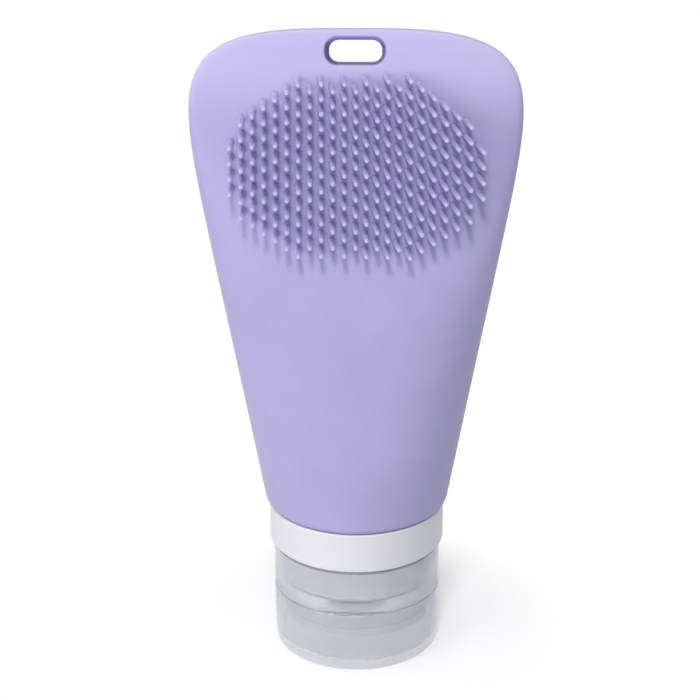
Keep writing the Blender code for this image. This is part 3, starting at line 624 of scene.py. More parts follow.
def base_mesh(sizes):
    """Outer wall with the thumb's scoop, deck, threaded and ribbed skirt, spigot and valve cup.

    The outer wall has low ribs inside, opposite the skirt's. The scoop takes 1 - across^2 - up^2 of its
    depth off the wall, where across and up run from 0 at its middle on the seam to 1 at its edge.
    """
    ribs = sizes.skirt_ribs
    outline = [
        (DECK_BORE, DECK_UNDER), (CUP_BORE, DECK_UNDER), (CUP_BORE, CUP_END + 0.6 * MM),
        (CUP_BORE - 0.45 * MM, CUP_END + 0.3 * MM), (CUP_BORE, CUP_END), (CUP_RADIUS, CUP_END),
        (CUP_RADIUS, DECK_UNDER), (SPIGOT_BORE, DECK_UNDER), (SPIGOT_BORE, SPIGOT_END),
        (BEAD_SEAT, SPIGOT_END), (BEAD_SEAT, SEAM - 1.0 * MM), (SPIGOT_RADIUS, SEAM), (CAP_RADIUS, SEAM),
        (CAP_RADIUS, BASE_RIM + GAP_CLOSE), (WALL_INSIDE, BASE_RIM + GAP_CLOSE), (WALL_INSIDE, DECK_TOP),
        (SKIRT_RADIUS, DECK_TOP), (SKIRT_RADIUS, BASE_RIM), (SKIRT_BORE, BASE_RIM), (SKIRT_BORE, DECK_TOP),
        (DECK_BORE, DECK_TOP),
    ]
    radii = np.full(len(outline), 0.15 * MM)
    inside_wall = slice(14, 16)
    radii[inside_wall] = 0.25 * MM
    outline = refined(soft_outline(outline, radii), 0.64 * MM)
    rim_fade = BASE_RIM - 0.5 * MM

    def shaped(r, a, z):
        from_front = np.remainder(a + math.pi / 2 + math.pi, 2 * math.pi) - math.pi
        across, up = from_front * CAP_RADIUS / SCOOP_HALF_WIDTH, np.maximum(z - SEAM, 0) / SCOOP_HEIGHT
        dish = CAP_RADIUS - SCOOP_DEPTH * np.maximum(1 - across**2 - up**2, 0)
        in_wall = (r > WALL_INSIDE + 0.05 * MM) | ((z < SEAM + 0.4 * MM) & (r > SPIGOT_RADIUS))
        skin_side = in_wall & (z >= SEAM - 1e-7)
        scale = (dish - SPIGOT_RADIUS) / (CAP_RADIUS - SPIGOT_RADIUS)
        made = np.where(skin_side, SPIGOT_RADIUS + (r - SPIGOT_RADIUS) * scale, r)
        bore = (np.abs(r - SKIRT_BORE) < 0.1 * MM) & (z > DECK_TOP + 0.2 * MM)
        end = smooth_step((rim_fade - z) / (0.8 * MM)) * smooth_step((z - DECK_TOP - 0.2 * MM) / (0.8 * MM))
        made = made + np.where(bore, sizes.thread_half_height * ((thread_wave(a, z) - 1) * end + 1), 0)
        outer = (np.abs(r - SKIRT_RADIUS) < 0.1 * MM) & (z > DECK_TOP)
        from_rib = np.remainder(a * ribs / (2 * math.pi) + 0.5, 1) - 0.5
        near = np.abs(from_rib) * 2 * math.pi / ribs * SKIRT_RADIUS
        crest = smooth_step((RIB_FOOT - near) / (RIB_FOOT - RIB_CREST))
        crest = crest * smooth_step((BASE_RIM - 2.0 * MM - z) / (0.5 * MM))
        inner = (np.abs(r - WALL_INSIDE) < 0.1 * MM) & (z > DECK_TOP + 0.1 * MM)
        return made + np.where(outer, 0.6 * MM * crest, 0) - np.where(inner, 0.25 * MM * crest, 0)

    return turned("cap_shell", outline, base_angles(ribs), shaped)


def bead_mesh():
    """The frosted ring round the spigot's end that the lid snaps over: straight below, sloped above."""
    seat = BEAD_SEAT - 0.05 * MM
    outline = [
        (seat, SPIGOT_END), (SPIGOT_RADIUS, SPIGOT_END), (SPIGOT_RADIUS, SPIGOT_END + 0.6 * MM),
        (seat, SPIGOT_END + 2.0 * MM),
    ]
    return turned("spigot_bead", refined(soft_outline(outline, 0.2 * MM), 0.4 * MM), even_turn(192))


def lid_mesh(sizes):
    """The cup that the bottle stands on, with the plug ring inside."""
    foot = CAP_RADIUS - LID_FOOT_TAPER
    plug_top = VALVE_END - FIT
    plug_bore = PLUG_RADIUS - PLUG_WALL
    rim = LID_HEIGHT + SEAM_CLOSE
    outline = [
        (0, 0), (foot, 0), (CAP_RADIUS, rim), (WALL_INSIDE, rim),
        (WALL_INSIDE - LID_FOOT_TAPER, LID_PLATE), (PLUG_RADIUS, LID_PLATE),
        (PLUG_RADIUS, plug_top - 0.5 * MM), (PLUG_RADIUS - 0.5 * MM, plug_top), (plug_bore, plug_top),
        (plug_bore, LID_PLATE), (0, LID_PLATE),
    ]
    radii = MM * np.array([0, 0, 0.5, 0.2, 1.6, 0.3, 0.15, 0.15, 0.1, 0.3, 0])
    radii[1] = sizes.lid_foot_round
    outline = refined(soft_outline(outline, radii, steps=8, closed=False), 0.7 * MM, closed=False)
    return turned("clear_lid", outline, even_turn(192), closed=False)


def valve_mesh():
    """A dished soft disc that hangs from its flange."""
    head = 4.4 * MM
    inner = head - 0.8 * MM
    flange_under = FLANGE_SEAT - 1.3 * MM
    outline = [
        (0, VALVE_END + 0.7 * MM), (head / 2, VALVE_END + 0.35 * MM), (inner, VALVE_END),
        (head, VALVE_END + 0.4 * MM), (head, flange_under), (RETAINER_RADIUS, flange_under),
        (RETAINER_RADIUS, FLANGE_SEAT), (head, FLANGE_SEAT), (inner, VALVE_END + 1.2 * MM),
        (head / 2, VALVE_END + 1.15 * MM), (0, VALVE_END + 1.5 * MM),
    ]
    outline = refined(soft_outline(outline, 0.2 * MM, closed=False), 0.4 * MM, closed=False)
    return turned("valve_disc", outline, even_turn(96), closed=False)


def slit_mesh():
    """A thin cross carried up through the valve's middle, which opens its slit."""
    arm, half = 2.3 * MM, 0.08 * MM
    corner = np.array([(arm, -half), (arm, half), (half, half)])
    turn = np.array([[(1, 0), (0, 1)], [(0, -1), (1, 0)], [(-1, 0), (0, -1)], [(0, 1), (-1, 0)]])
    cross = np.concatenate([corner @ quarter.T for quarter in turn])
    heights = np.array([VALVE_END - 1.5 * MM, VALVE_END + 3 * MM])
    rings = np.stack([np.column_stack([cross, np.full(len(cross), z)]) for z in heights])
    skin = Skin()
    skin.tube(rings, np.column_stack([np.zeros((2, 2)), heights]))
    return skin.finish("slit_cross")


def retainer_mesh():
    """The ring that holds the valve's flange, bevelled at its lower outer edge."""
    bore = PLUG_RADIUS + 0.5 * MM
    outline = [
        (bore, RETAINER_UNDER), (RETAINER_RADIUS - 0.3 * MM, RETAINER_UNDER),
        (RETAINER_RADIUS, RETAINER_UNDER + 0.4 * MM), (RETAINER_RADIUS, RETAINER_TOP), (bore, RETAINER_TOP),
    ]
    return turned("valve_ring", refined(soft_outline(outline, 0.15 * MM), 0.6 * MM), even_turn(96))


def strap_mesh():
    """A thin strap with soft edges, carried along a bow: y = out + bulge (1 - s^2), s from -1 to 1."""
    s = np.linspace(-1, 1, 33)
    middle, half_height = (STRAP_LOW + STRAP_HIGH) / 2, (STRAP_HIGH - STRAP_LOW) / 2
    thick = 0.5 * MM
    bulge = STRAP_OUT - HINGE_OUT
    y = HINGE_OUT - thick / 2 + bulge * (1 - s**2)
    z = middle + half_height * s
    slope = np.arctan2(-2 * bulge * s / half_height, 1)
    turn = even_turn(32)
    x = HINGE_WIDTH / 2 * np.sign(np.cos(turn)) * np.abs(np.cos(turn)) ** 0.25
    out = thick / 2 * np.sign(np.sin(turn)) * np.abs(np.sin(turn)) ** 0.5
    rings = np.stack([
        x[None] + 0 * s[:, None],
        y[:, None] + out[None] * np.cos(slope)[:, None],
        z[:, None] - out[None] * np.sin(slope)[:, None],
    ], axis=-1)
    rings[..., 2] = np.clip(rings[..., 2], STRAP_LOW, STRAP_HIGH)
    skin = Skin()
    skin.tube(rings, np.stack([0 * y, y, z], axis=-1)[[0, -1]])
    return skin.finish("hinge_strap")


def land_mesh(name, under):
    """The low block on the back wall that one end of the strap is moulded to."""
    centre = (0, HINGE_OUT - LAND_DEPTH / 2, under + LAND_HEIGHT / 2)
    return block(name, centre, (HINGE_WIDTH / 2, LAND_DEPTH / 2, LAND_HEIGHT / 2))


# Putting pieces in the scene


def fresh(name, mesh):
    """A linked object of this name; an older one of the same name goes."""
    old = bpy.data.objects.get(name)
    if old:
        bpy.data.objects.remove(old)
    made = bpy.data.objects.new(name, mesh)
    bpy.context.scene.collection.objects.link(made)
    return made


def carve(target, mesh, operation):
    """Joins or cuts with a second closed mesh, once, and keeps only the result."""
    tool = fresh(f"{target.name}.tool", mesh)
    step = target.modifiers.new("shape", "BOOLEAN")
    step.operation, step.solver, step.object = operation, "EXACT", tool
    seen = target.evaluated_get(bpy.context.evaluated_depsgraph_get())
    made = bpy.data.meshes.new_from_object(seen)
    if not made.polygons:
        raise RuntimeError(f"{target.name} came out empty")
    target.modifiers.clear()
    target.data = made
    bpy.data.objects.remove(tool)
    made.shade_smooth()
    made.set_sharp_from_angle(angle=math.radians(50))


def place(name, mesh, finish, slot, body, *nodes):
    """Dresses a mesh as the piece that stands for one or more of the frame's solids."""
    made = fresh(name, mesh)
    made.data.materials.append(finish)
    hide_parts(*nodes)
    if body:
        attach(made, body)
    return made


# Finishes


def new_group(name, inputs, outputs):
    """An empty node group with its sockets, and its nodes for what comes in and what goes out."""
    tree = bpy.data.node_groups.new(name, "ShaderNodeTree")
    for label, kind, value in inputs:
        socket = tree.interface.new_socket(label, in_out="INPUT", socket_type=kind)
        socket.default_value = value
    for label, kind in outputs:
        tree.interface.new_socket(label, in_out="OUTPUT", socket_type=kind)
    return tree, tree.nodes.new("NodeGroupInput"), tree.nodes.new("NodeGroupOutput")


def moulded_grain():
    """Fine grain of a moulded surface, and slow clouds across the piece, on Object coordinates."""
    known = bpy.data.node_groups.get("Moulded Grain")
    if known:
        return known
    tree, given, made = new_group(
        "Moulded Grain",
        [("Grain Scale", "NodeSocketFloat", 2500.0), ("Cloud Scale", "NodeSocketFloat", 60.0)],
        [("Grain", "NodeSocketFloat"), ("Cloud", "NodeSocketFloat")],
    )
    place_of = tree.nodes.new("ShaderNodeTexCoord")
    for label, detail, output in (("Grain Scale", 2.0, "Grain"), ("Cloud Scale", 3.0, "Cloud")):
        noise = tree.nodes.new("ShaderNodeTexNoise")
        noise.inputs["Detail"].default_value = detail
        tree.links.new(place_of.outputs["Object"], noise.inputs["Vector"])
        tree.links.new(given.outputs[label], noise.inputs["Scale"])
        tree.links.new(noise.outputs["Fac"], made.inputs[output])
    return tree


def slot_shade():
    """1 in the hang slot and on its rim, 0 outside, by the distance to a core rectangle.

    The rectangle sits a little above the slot's middle, so the shade is deepest over the slot.
    """
    known = bpy.data.node_groups.get("Slot Shade")
    if known:
        return known
    tree, given, made = new_group(
        "Slot Shade",
        [
            ("Inner", "NodeSocketFloat", SLOT_CORNER + 0.35 * MM),
            ("Outer", "NodeSocketFloat", SLOT_CORNER + 0.95 * MM),
        ],
        [("Shade", "NodeSocketFloat")],
    )
    place_of = tree.nodes.new("ShaderNodeTexCoord")
    moved, folded, beyond, kept, far = (tree.nodes.new("ShaderNodeVectorMath") for _ in range(5))
    core = (SLOT_LENGTH / 2 - SLOT_CORNER + 0.3 * MM, 1.0, SLOT_HEIGHT / 2 - SLOT_CORNER)
    moved.operation, moved.inputs[1].default_value = "SUBTRACT", (-0.15 * MM, 0, SLOT_MIDDLE + 0.4 * MM)
    folded.operation = "ABSOLUTE"
    beyond.operation, beyond.inputs[1].default_value = "SUBTRACT", core
    kept.operation, kept.inputs[1].default_value = "MAXIMUM", (0, 0, 0)
    far.operation = "LENGTH"
    tree.links.new(place_of.outputs["Object"], moved.inputs[0])
    for first, second in ((moved, folded), (folded, beyond), (beyond, kept), (kept, far)):
        tree.links.new(first.outputs["Vector"], second.inputs[0])
    span = tree.nodes.new("ShaderNodeMapRange")
    span.interpolation_type = "SMOOTHSTEP"
    span.inputs["To Min"].default_value, span.inputs["To Max"].default_value = 1, 0
    tree.links.new(far.outputs["Value"], span.inputs["Value"])
    tree.links.new(given.outputs["Inner"], span.inputs["From Min"])
    tree.links.new(given.outputs["Outer"], span.inputs["From Max"])
    tree.links.new(span.outputs["Result"], made.inputs["Shade"])
    return tree


class Finish:
    """Builds one Principled material step by step."""

    def __init__(self, name):
        self.material = bpy.data.materials.get(name) or bpy.data.materials.new(name)
        self.material.use_nodes = True
        self.tree = self.material.node_tree
        self.tree.nodes.clear()
        self.surface = self.add("ShaderNodeBsdfPrincipled")
        self.link(self.surface.outputs[0], self.add("ShaderNodeOutputMaterial").inputs["Surface"])

    def add(self, kind):
        """A new node of this material."""
        return self.tree.nodes.new(kind)

    def link(self, start, end):
        """Joins an output to an input."""
        self.tree.links.new(start, end)

    def plain(self, **values):
        """Sets constants on the shader's own sockets; underscores stand for spaces."""
        for name, value in values.items():
            self.surface.inputs[name.replace("_", " ")].default_value = value

    def grain(self, grain_scale, cloud_scale):
        """The moulded grain at this material's own scales."""
        node = self.add("ShaderNodeGroup")
        node.node_tree = moulded_grain()
        node.inputs["Grain Scale"].default_value = grain_scale
        node.inputs["Cloud Scale"].default_value = cloud_scale
        return node

    def blend(self, value, first, second, start=0.35, end=0.65):
        """A colour between two colours that follows a value."""
        ramp = self.add("ShaderNodeValToRGB")
        ramp.color_ramp.elements[0].position = start
        ramp.color_ramp.elements[1].position = end
        ramp.color_ramp.elements[0].color = (*first, 1)
        ramp.color_ramp.elements[1].color = (*second, 1)
        self.link(value, ramp.inputs["Fac"])
        return ramp.outputs["Color"]

    def mixed(self, share, first, second):
        """A mix of two colours, each a socket or plain numbers, by a share from 0 to 1."""
        node = self.add("ShaderNodeMix")
        node.data_type = "RGBA"
        self.link(share, node.inputs["Factor"])
        for key, colour in (("A", first), ("B", second)):
            socket = next(i for i in node.inputs if i.name == key and i.type == "RGBA")
            if isinstance(colour, tuple):
                socket.default_value = (*colour, 1)
            else:
                self.link(colour, socket)
        return next(o for o in node.outputs if o.type == "RGBA")

    def height(self, start, end):
        """0 below one height and 1 above another, on Object coordinates."""
        kinds = ("ShaderNodeTexCoord", "ShaderNodeSeparateXYZ", "ShaderNodeMapRange")
        place_of, parts, span = (self.add(kind) for kind in kinds)
        span.interpolation_type = "SMOOTHSTEP"
        span.inputs["From Min"].default_value, span.inputs["From Max"].default_value = start, end
        self.link(place_of.outputs["Object"], parts.inputs[0])
        self.link(parts.outputs["Z"], span.inputs["Value"])
        return span.outputs["Result"]

    def ranged(self, value, start, end):
        """A number between two numbers that follows a value from 0.3 to 0.7."""
        node = self.add("ShaderNodeMapRange")
        node.inputs["From Min"].default_value = 0.3
        node.inputs["From Max"].default_value = 0.7
        node.inputs["To Min"].default_value = start
        node.inputs["To Max"].default_value = end
        self.link(value, node.inputs["Value"])
        return node.outputs["Result"]

    def bump(self, height, distance, strength):
        """Relief from a value, as deep as the distance, at a strength from 0 to 1."""
        node = self.add("ShaderNodeBump")
        node.inputs["Strength"].default_value = strength
        node.inputs["Distance"].default_value = distance
        self.link(height, node.inputs["Height"])
        self.link(node.outputs["Normal"], self.surface.inputs["Normal"])


def shade(colour, factor):
    """A colour times a factor."""
    return tuple(channel * factor for channel in colour)


def silicone_finish(colours):
    """Matte lavender silicone: soft, a little translucent, with a faint dry bloom at grazing angles. Its
    colour also carries painted light and shade: paler nub tips, darker nub bodies, a paler thin tab and a
    deep shade in the hang slot.
    """
    finish = Finish("lavender silicone")
    tone = tuple(colours.silicone)
    grain = finish.grain(2600.0, 55.0)
    surface = finish.surface
    reach = finish.add("ShaderNodeAttribute")
    reach.attribute_name = "reach"
    # Painted highlight on the nubs' tips and painted shade on their bodies past the feet, following how far
    # along each point is
    tips = finish.blend(reach.outputs["Fac"], (0, 0, 0), (1, 1, 1), 0.72, 0.97)
    nub_body_shade = finish.blend(reach.outputs["Fac"], (0, 0, 0), (1, 1, 1), 0.05, 0.3)
    slot = finish.add("ShaderNodeGroup")
    slot.node_tree = slot_shade()
    colour = finish.blend(grain.outputs["Cloud"], shade(tone, 0.965), shade(tone, 1.03))
    # Painted light: the thin tab's paler lavender stands in for light passing through the thin silicone
    colour = finish.mixed(finish.height(TAB_LIGHT_UNDER, TAB_LIGHT_TOP), colour, tuple(colours.thin_tab_painted_light))
    colour = finish.mixed(nub_body_shade, colour, shade(tone, 0.95))
    colour = finish.mixed(tips, colour, tuple(colours.nub_tip))
    # Painted shade in the hang slot and on its rim: deep at the walls, lighter on the upper rim
    above = finish.height(SLOT_MIDDLE + 1.5 * MM, SLOT_MIDDLE + 3.0 * MM)
    wall = finish.mixed(above, tuple(colours.slot_painted_shade), tuple(colours.slot_top_painted_shade))
    colour = finish.mixed(slot.outputs["Shade"], colour, wall)
    finish.link(colour, surface.inputs["Base Color"])
    finish.link(finish.ranged(grain.outputs["Cloud"], 0.5, 0.6), surface.inputs["Roughness"])
    finish.bump(grain.outputs["Grain"], 0.05 * MM, 0.25)
    finish.plain(
        Subsurface_Weight=0.5, Subsurface_Scale=2.2 * MM, Subsurface_Radius=(1.0, 0.85, 1.15), IOR=1.41,
        Sheen_Weight=0.25, Sheen_Roughness=0.45, Sheen_Tint=(0.93, 0.92, 1.0, 1.0),
    )
    return finish.material


def grained_finish(name, scales, tones, roughness, relief, **constants):
    """A finish whose tone and roughness follow the slow clouds, under a fine relief of the grain."""
    finish = Finish(name)
    grain = finish.grain(*scales)
    finish.link(finish.blend(grain.outputs["Cloud"], *tones), finish.surface.inputs["Base Color"])
    finish.link(finish.ranged(grain.outputs["Cloud"], *roughness), finish.surface.inputs["Roughness"])
    finish.bump(grain.outputs["Grain"], *relief)
    finish.plain(**constants)
    return finish.material


def clear_finish(colours, hazy=False):
    """Clear polypropylene with a cool cast; the thick base lets less light through than the lid."""
    name = "hazy cap plastic" if hazy else "clear cap plastic"
    tone = tuple(colours.hazy_plastic if hazy else colours.clear_plastic)
    roughness = (0.07, 0.11) if hazy else (0.14, 0.19)
    return grained_finish(
        name, (900.0, 90.0), (shade(tone, 0.97), tone), roughness, (0.02 * MM, 0.15),
        Transmission_Weight=0.6 if hazy else 0.78, IOR=1.49,
    )


def bead_finish(colours):
    """The same plastic where it is frosted: no longer clear, and paler."""
    tone = tuple(colours.hazy_plastic)
    return grained_finish(
        "frosted cap plastic", (1500.0, 80.0), (shade(tone, 0.96), tone), (0.3, 0.4), (0.02 * MM, 0.15),
        Transmission_Weight=0.1, IOR=1.49,
    )


def milky_finish(colours):
    """Milky white plastic with a satin skin that lets a little light in."""
    tone = tuple(colours.milky_plastic)
    tones = (shade(tone, 0.975), shade(tone, 1.01))
    return grained_finish(
        "milky white plastic", (1800.0, 70.0), tones, (0.33, 0.42), (0.02 * MM, 0.2),
        Subsurface_Weight=0.25, Subsurface_Scale=1.2 * MM, Subsurface_Radius=(1.0, 1.0, 1.05), IOR=1.49,
    )


def seal_finish(colours):
    """White soft silicone of the liner and the valve."""
    tone = tuple(colours.seal)
    return grained_finish(
        "white seal silicone", (2200.0, 80.0), (shade(tone, 0.96), tone), (0.42, 0.52), (0.03 * MM, 0.2),
        Subsurface_Weight=0.3, Subsurface_Scale=1.0 * MM, IOR=1.41,
    )


# The studio


def seen_rays(tree):
    """1 where a ray comes from the camera, a reflection or through the clear plastic, else 0."""
    path = tree.nodes.new("ShaderNodeLightPath")
    value = path.outputs["Is Camera Ray"]
    for name in ("Is Glossy Ray", "Is Transmission Ray"):
        larger = tree.nodes.new("ShaderNodeMath")
        larger.operation = "MAXIMUM"
        tree.links.new(value, larger.inputs[0])
        tree.links.new(path.outputs[name], larger.inputs[1])
        value = larger.outputs[0]
    return value


def floor_material(stage):
    """A pale floor that looks white, takes the bottle's shadow near it and is plain white farther off.

    Its own glow fades towards the place where the bottle stands, which paints a shadow round the bottle's
    foot on top of the one the lamps cast. Rays that light the bottle find it a plain pale grey.
    """
    made = bpy.data.materials.new("studio floor")
    made.use_nodes = True
    tree = made.node_tree
    tree.nodes.clear()

    def add(kind):
        return tree.nodes.new("ShaderNode" + kind)

    def span(start, end, least, most):
        """A number that grows with the distance from the shade's middle."""
        node = add("MapRange")
        node.interpolation_type = "SMOOTHSTEP"
        for name, value in (("From Min", start), ("From Max", end), ("To Min", least), ("To Max", most)):
            node.inputs[name].default_value = value
        tree.links.new(far.outputs["Value"], node.inputs["Value"])
        return node.outputs["Result"]

    far, takes, glow, near = (add(kind) for kind in ("VectorMath", "BsdfDiffuse", "Emission", "AddShader"))
    white, seen_floor = add("Emission"), add("MixShader")
    pale, whole = add("BsdfDiffuse"), add("MixShader")
    far.operation = "DISTANCE"
    far.inputs[1].default_value = SHADE_MIDDLE
    tree.links.new(add("TexCoord").outputs["Object"], far.inputs[0])
    takes.inputs["Color"].default_value = (stage.floor_takes_light,) * 3 + (1,)
    # Painted shadow: the floor's glow is dimmer round the bottle's foot
    tree.links.new(span(*GLOW_GROWS, SHADE_LEVEL, stage.floor_glow), glow.inputs["Strength"])
    tree.links.new(takes.outputs[0], near.inputs[0])
    tree.links.new(glow.outputs[0], near.inputs[1])
    tree.links.new(span(*WHITE_GROWS, 0, 1), seen_floor.inputs["Fac"])
    tree.links.new(near.outputs[0], seen_floor.inputs[1])
    tree.links.new(white.outputs[0], seen_floor.inputs[2])
    pale.inputs["Color"].default_value = (*shade((0.97, 0.98, 1.05), stage.floor_bounce), 1)
    tree.links.new(seen_rays(tree), whole.inputs["Fac"])
    tree.links.new(pale.outputs[0], whole.inputs[1])
    tree.links.new(seen_floor.outputs[0], whole.inputs[2])
    tree.links.new(whole.outputs[0], add("OutputMaterial").inputs["Surface"])
    return made


def light_world(stage):
    """White behind the bottle, and an even soft light from all round at the stage's level."""
    world = bpy.context.scene.world or bpy.data.worlds.new("studio")
    bpy.context.scene.world = world
    world.use_nodes = True
    tree = world.node_tree
    tree.nodes.clear()
    glow, white = tree.nodes.new("ShaderNodeBackground"), tree.nodes.new("ShaderNodeBackground")
    glow.inputs["Color"].default_value = (0.96, 0.965, 1.03, 1)
    glow.inputs["Strength"].default_value = stage.sky_level
    white.inputs["Color"].default_value = (1, 1, 1, 1)
    white.inputs["Strength"].default_value = 1.0
    mix = tree.nodes.new("ShaderNodeMixShader")
    tree.links.new(seen_rays(tree), mix.inputs["Fac"])
    tree.links.new(glow.outputs[0], mix.inputs[1])
    tree.links.new(white.outputs[0], mix.inputs[2])
    tree.links.new(mix.outputs[0], tree.nodes.new("ShaderNodeOutputWorld").inputs["Surface"])


def softbox(name, place_at, target, side, power):
    """A square lamp at a place that faces a target."""
    lamp = bpy.data.lights.new(name, "AREA")
    lamp.shape, lamp.size, lamp.size_y, lamp.energy = "RECTANGLE", side, side, power
    look = (Vector(target) - Vector(place_at)).normalized()
    turn = look.to_track_quat("-Z", "Y").to_matrix().to_4x4()
    fresh(name, lamp).matrix_world = Matrix.Translation(Vector(place_at)) @ turn


# Settings


def number(name, description, value, **more):
    """A number that the panel shows."""
    return bpy.props.FloatProperty(name=name, description=description, default=value, **more)


def length(name, description, value):
    """A length, shown in the scene's own unit."""
    return number(name, description, value, unit="LENGTH", subtype="DISTANCE", precision=5)


def angle(name, description, degrees):
    """An angle, given here in degrees."""
    return number(name, description, math.radians(degrees), unit="ROTATION", subtype="ANGLE")


def tint(name, description, value):
    """A colour of three linear values."""
    more = {"subtype": "COLOR", "size": 3, "min": 0, "max": 1}
    return bpy.props.FloatVectorProperty(name=name, description=description, default=value, **more)


class BottleSizes(bpy.types.PropertyGroup):
    """Sizes of the visible pieces that can change without another frame."""

    nub_length: length("Nub Length", "From the front face to a nub's tip", 6.0 * MM)
    nub_root_radius: length("Nub Root", "Radius of a nub above its flared foot", 0.66 * MM)
    nub_tip_radius: length("Nub Tip", "Radius of a nub below its domed tip", 0.54 * MM)
    slot_rim: length("Slot Rim", "Round of the hang slot's edge", 1.05 * MM)
    edge_round: length("Edge Round", "Round of the collar's upper outer edge", 0.4 * MM)
    lid_foot_round: length("Lid Foot", "Round of the lid's lower edge", 1.2 * MM)
    thread_half_height: length("Thread", "Half of the thread's height", 0.35 * MM)
    skirt_ribs: bpy.props.IntProperty(
        name="Skirt Ribs", description="Ribs round the threaded skirt", default=72, min=12, max=96,
    )


class BottleColours(bpy.types.PropertyGroup):
    """Colours of the finishes, as linear values."""

    silicone: tint("Silicone", "Lavender of the shell and the nubs", (0.497, 0.456, 0.745))
    # Painted light: a paler lavender that stands in for light passing through the thin tab
    thin_tab_painted_light: tint("Thin Silicone", "Paler lavender of the thin tab", (0.64, 0.59, 0.88))
    # Painted highlight: the paler lavender of the nubs' tips stands in for light on their ends
    nub_tip: tint("Nub Tips", "Paler lavender where light passes the nubs' tips", (0.60, 0.56, 0.86))
    # Painted shade of the hang slot: deep on its walls, lighter on its upper rim
    slot_painted_shade: tint("Slot Wall", "Deep lavender inside the hang slot", (0.145, 0.105, 0.275))
    slot_top_painted_shade: tint("Slot Top", "Lighter lavender of the hang slot's upper rim", (0.30, 0.235, 0.56))
    clear_plastic: tint("Clear Plastic", "Cast of the lid's clear plastic", (0.90, 0.91, 0.955))
    hazy_plastic: tint("Hazy Plastic", "Cast of the thicker cap base", (0.963, 0.972, 1.0))
    milky_plastic: tint("Milky Plastic", "White of the collar and the neck", (0.87, 0.87, 0.885))
    seal: tint("Seal", "White of the liner and the valve", (0.85, 0.85, 0.86))


class StageSettings(bpy.types.PropertyGroup):
    """Light, floor and camera of the studio."""

    sky_level: number("Sky", "Level of the even light from all round", 0.27, min=0)
    key_power: number("Key", "Power of the softbox overhead", 14.0, min=0, unit="POWER")
    fill_power: number("Fill", "Power of the softbox at the left", 7.0, min=0, unit="POWER")
    floor_takes_light: number(
        "Floor Takes Light", "Share of the lamps' light that the floor gives back", 0.92, min=0, max=1,
    )
    floor_bounce: number(
        "Floor Bounce", "Paleness of the floor for the light it throws on the bottle", 0.8, min=0, max=1,
    )
    floor_glow: number("Floor White", "Level at which the floor shows by itself", 0.37, min=0, max=1)
    camera_pitch: angle("Camera Pitch", "How far the camera looks down", 22.5)
    camera_side: angle("Camera Side", "How far the camera stands to the right of the front", 1.3)
    camera_distance: length("Camera Distance", "Level distance from the bottle's axis", 404.94 * MM)
    camera_height: length("Camera Height", "Height of the camera above the floor", 243.01 * MM)
    camera_lens: number("Lens", "Focal length in millimetres", 95.96, min=10)


# Operators


class MakeShell(bpy.types.Operator):
    """Build the silicone shell with its hang slot, sleeve and cavity"""

    bl_idname = "travel_bottle.make_shell"
    bl_label = "Silicone Shell"

    def execute(self, context):
        mesh = shell_mesh(context.scene.bottle_sizes)
        finish = silicone_finish(context.scene.bottle_colours)
        place("silicone_shell", mesh, finish, "lavender_silicone", "bottle", "bottle_body")
        return {"FINISHED"}


class MakeNubs(bpy.types.Operator):
    """Build the field of scrubbing nubs on the shell's front"""

    bl_idname = "travel_bottle.make_nubs"
    bl_label = "Scrubbing Nubs"

    def execute(self, context):
        mesh = nubs_mesh(context.scene.bottle_sizes)
        finish = silicone_finish(context.scene.bottle_colours)
        place("scrubbing_nubs", mesh, finish, "lavender_silicone", "bottle", "scrubber_bristles")
        return {"FINISHED"}


class MakeCollar(bpy.types.Operator):
    """Build the milky collar"""

    bl_idname = "travel_bottle.make_collar"
    bl_label = "Collar"

    def execute(self, context):
        mesh = collar_mesh(context.scene.bottle_sizes)
        finish = milky_finish(context.scene.bottle_colours)
        place("milky_collar", mesh, finish, "milky_white_plastic", "bottle", "collar")
        return {"FINISHED"}


class MakeNeck(bpy.types.Operator):
    """Build the threaded neck tube and the liner under it"""

    bl_idname = "travel_bottle.make_neck"
    bl_label = "Neck and Liner"

    def execute(self, context):
        mesh = neck_mesh(context.scene.bottle_sizes)
        colours = context.scene.bottle_colours
        place("neck_tube", mesh, milky_finish(colours), "milky_white_plastic", "bottle", "neck_insert")
        place("liner_ring", liner_mesh(), seal_finish(colours), "seal_silicone", "liner", "cap_liner")
        return {"FINISHED"}


class MakeCapBase(bpy.types.Operator):
    """Build the clear screw cap with its scoop, thread, ribs, spigot, frosted bead and valve cup"""

    bl_idname = "travel_bottle.make_cap_base"
    bl_label = "Cap Base"

    def execute(self, context):
        mesh = base_mesh(context.scene.bottle_sizes)
        colours = context.scene.bottle_colours
        finish = clear_finish(colours, hazy=True)
        made = place("cap_shell", mesh, finish, "clear_cap_plastic", None, "cap_base")
        carve(made, land_mesh("cap_land", SEAM + LAND_AWAY), "UNION")
        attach(made, "cap")
        bead = fresh("spigot_bead", bead_mesh())
        bead.data.materials.append(bead_finish(colours))
        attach(bead, "cap")
        return {"FINISHED"}


class MakeValve(bpy.types.Operator):
    """Build the slit valve and the ring that holds it"""

    bl_idname = "travel_bottle.make_valve"
    bl_label = "Slit Valve"

    def execute(self, context):
        colours = context.scene.bottle_colours
        made = place("valve_disc", valve_mesh(), seal_finish(colours), "seal_silicone", None, "slit_valve")
        carve(made, slit_mesh(), "DIFFERENCE")
        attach(made, "cap")
        finish = clear_finish(colours)
        place("valve_ring", retainer_mesh(), finish, "clear_cap_plastic", "cap", "valve_retainer")
        return {"FINISHED"}


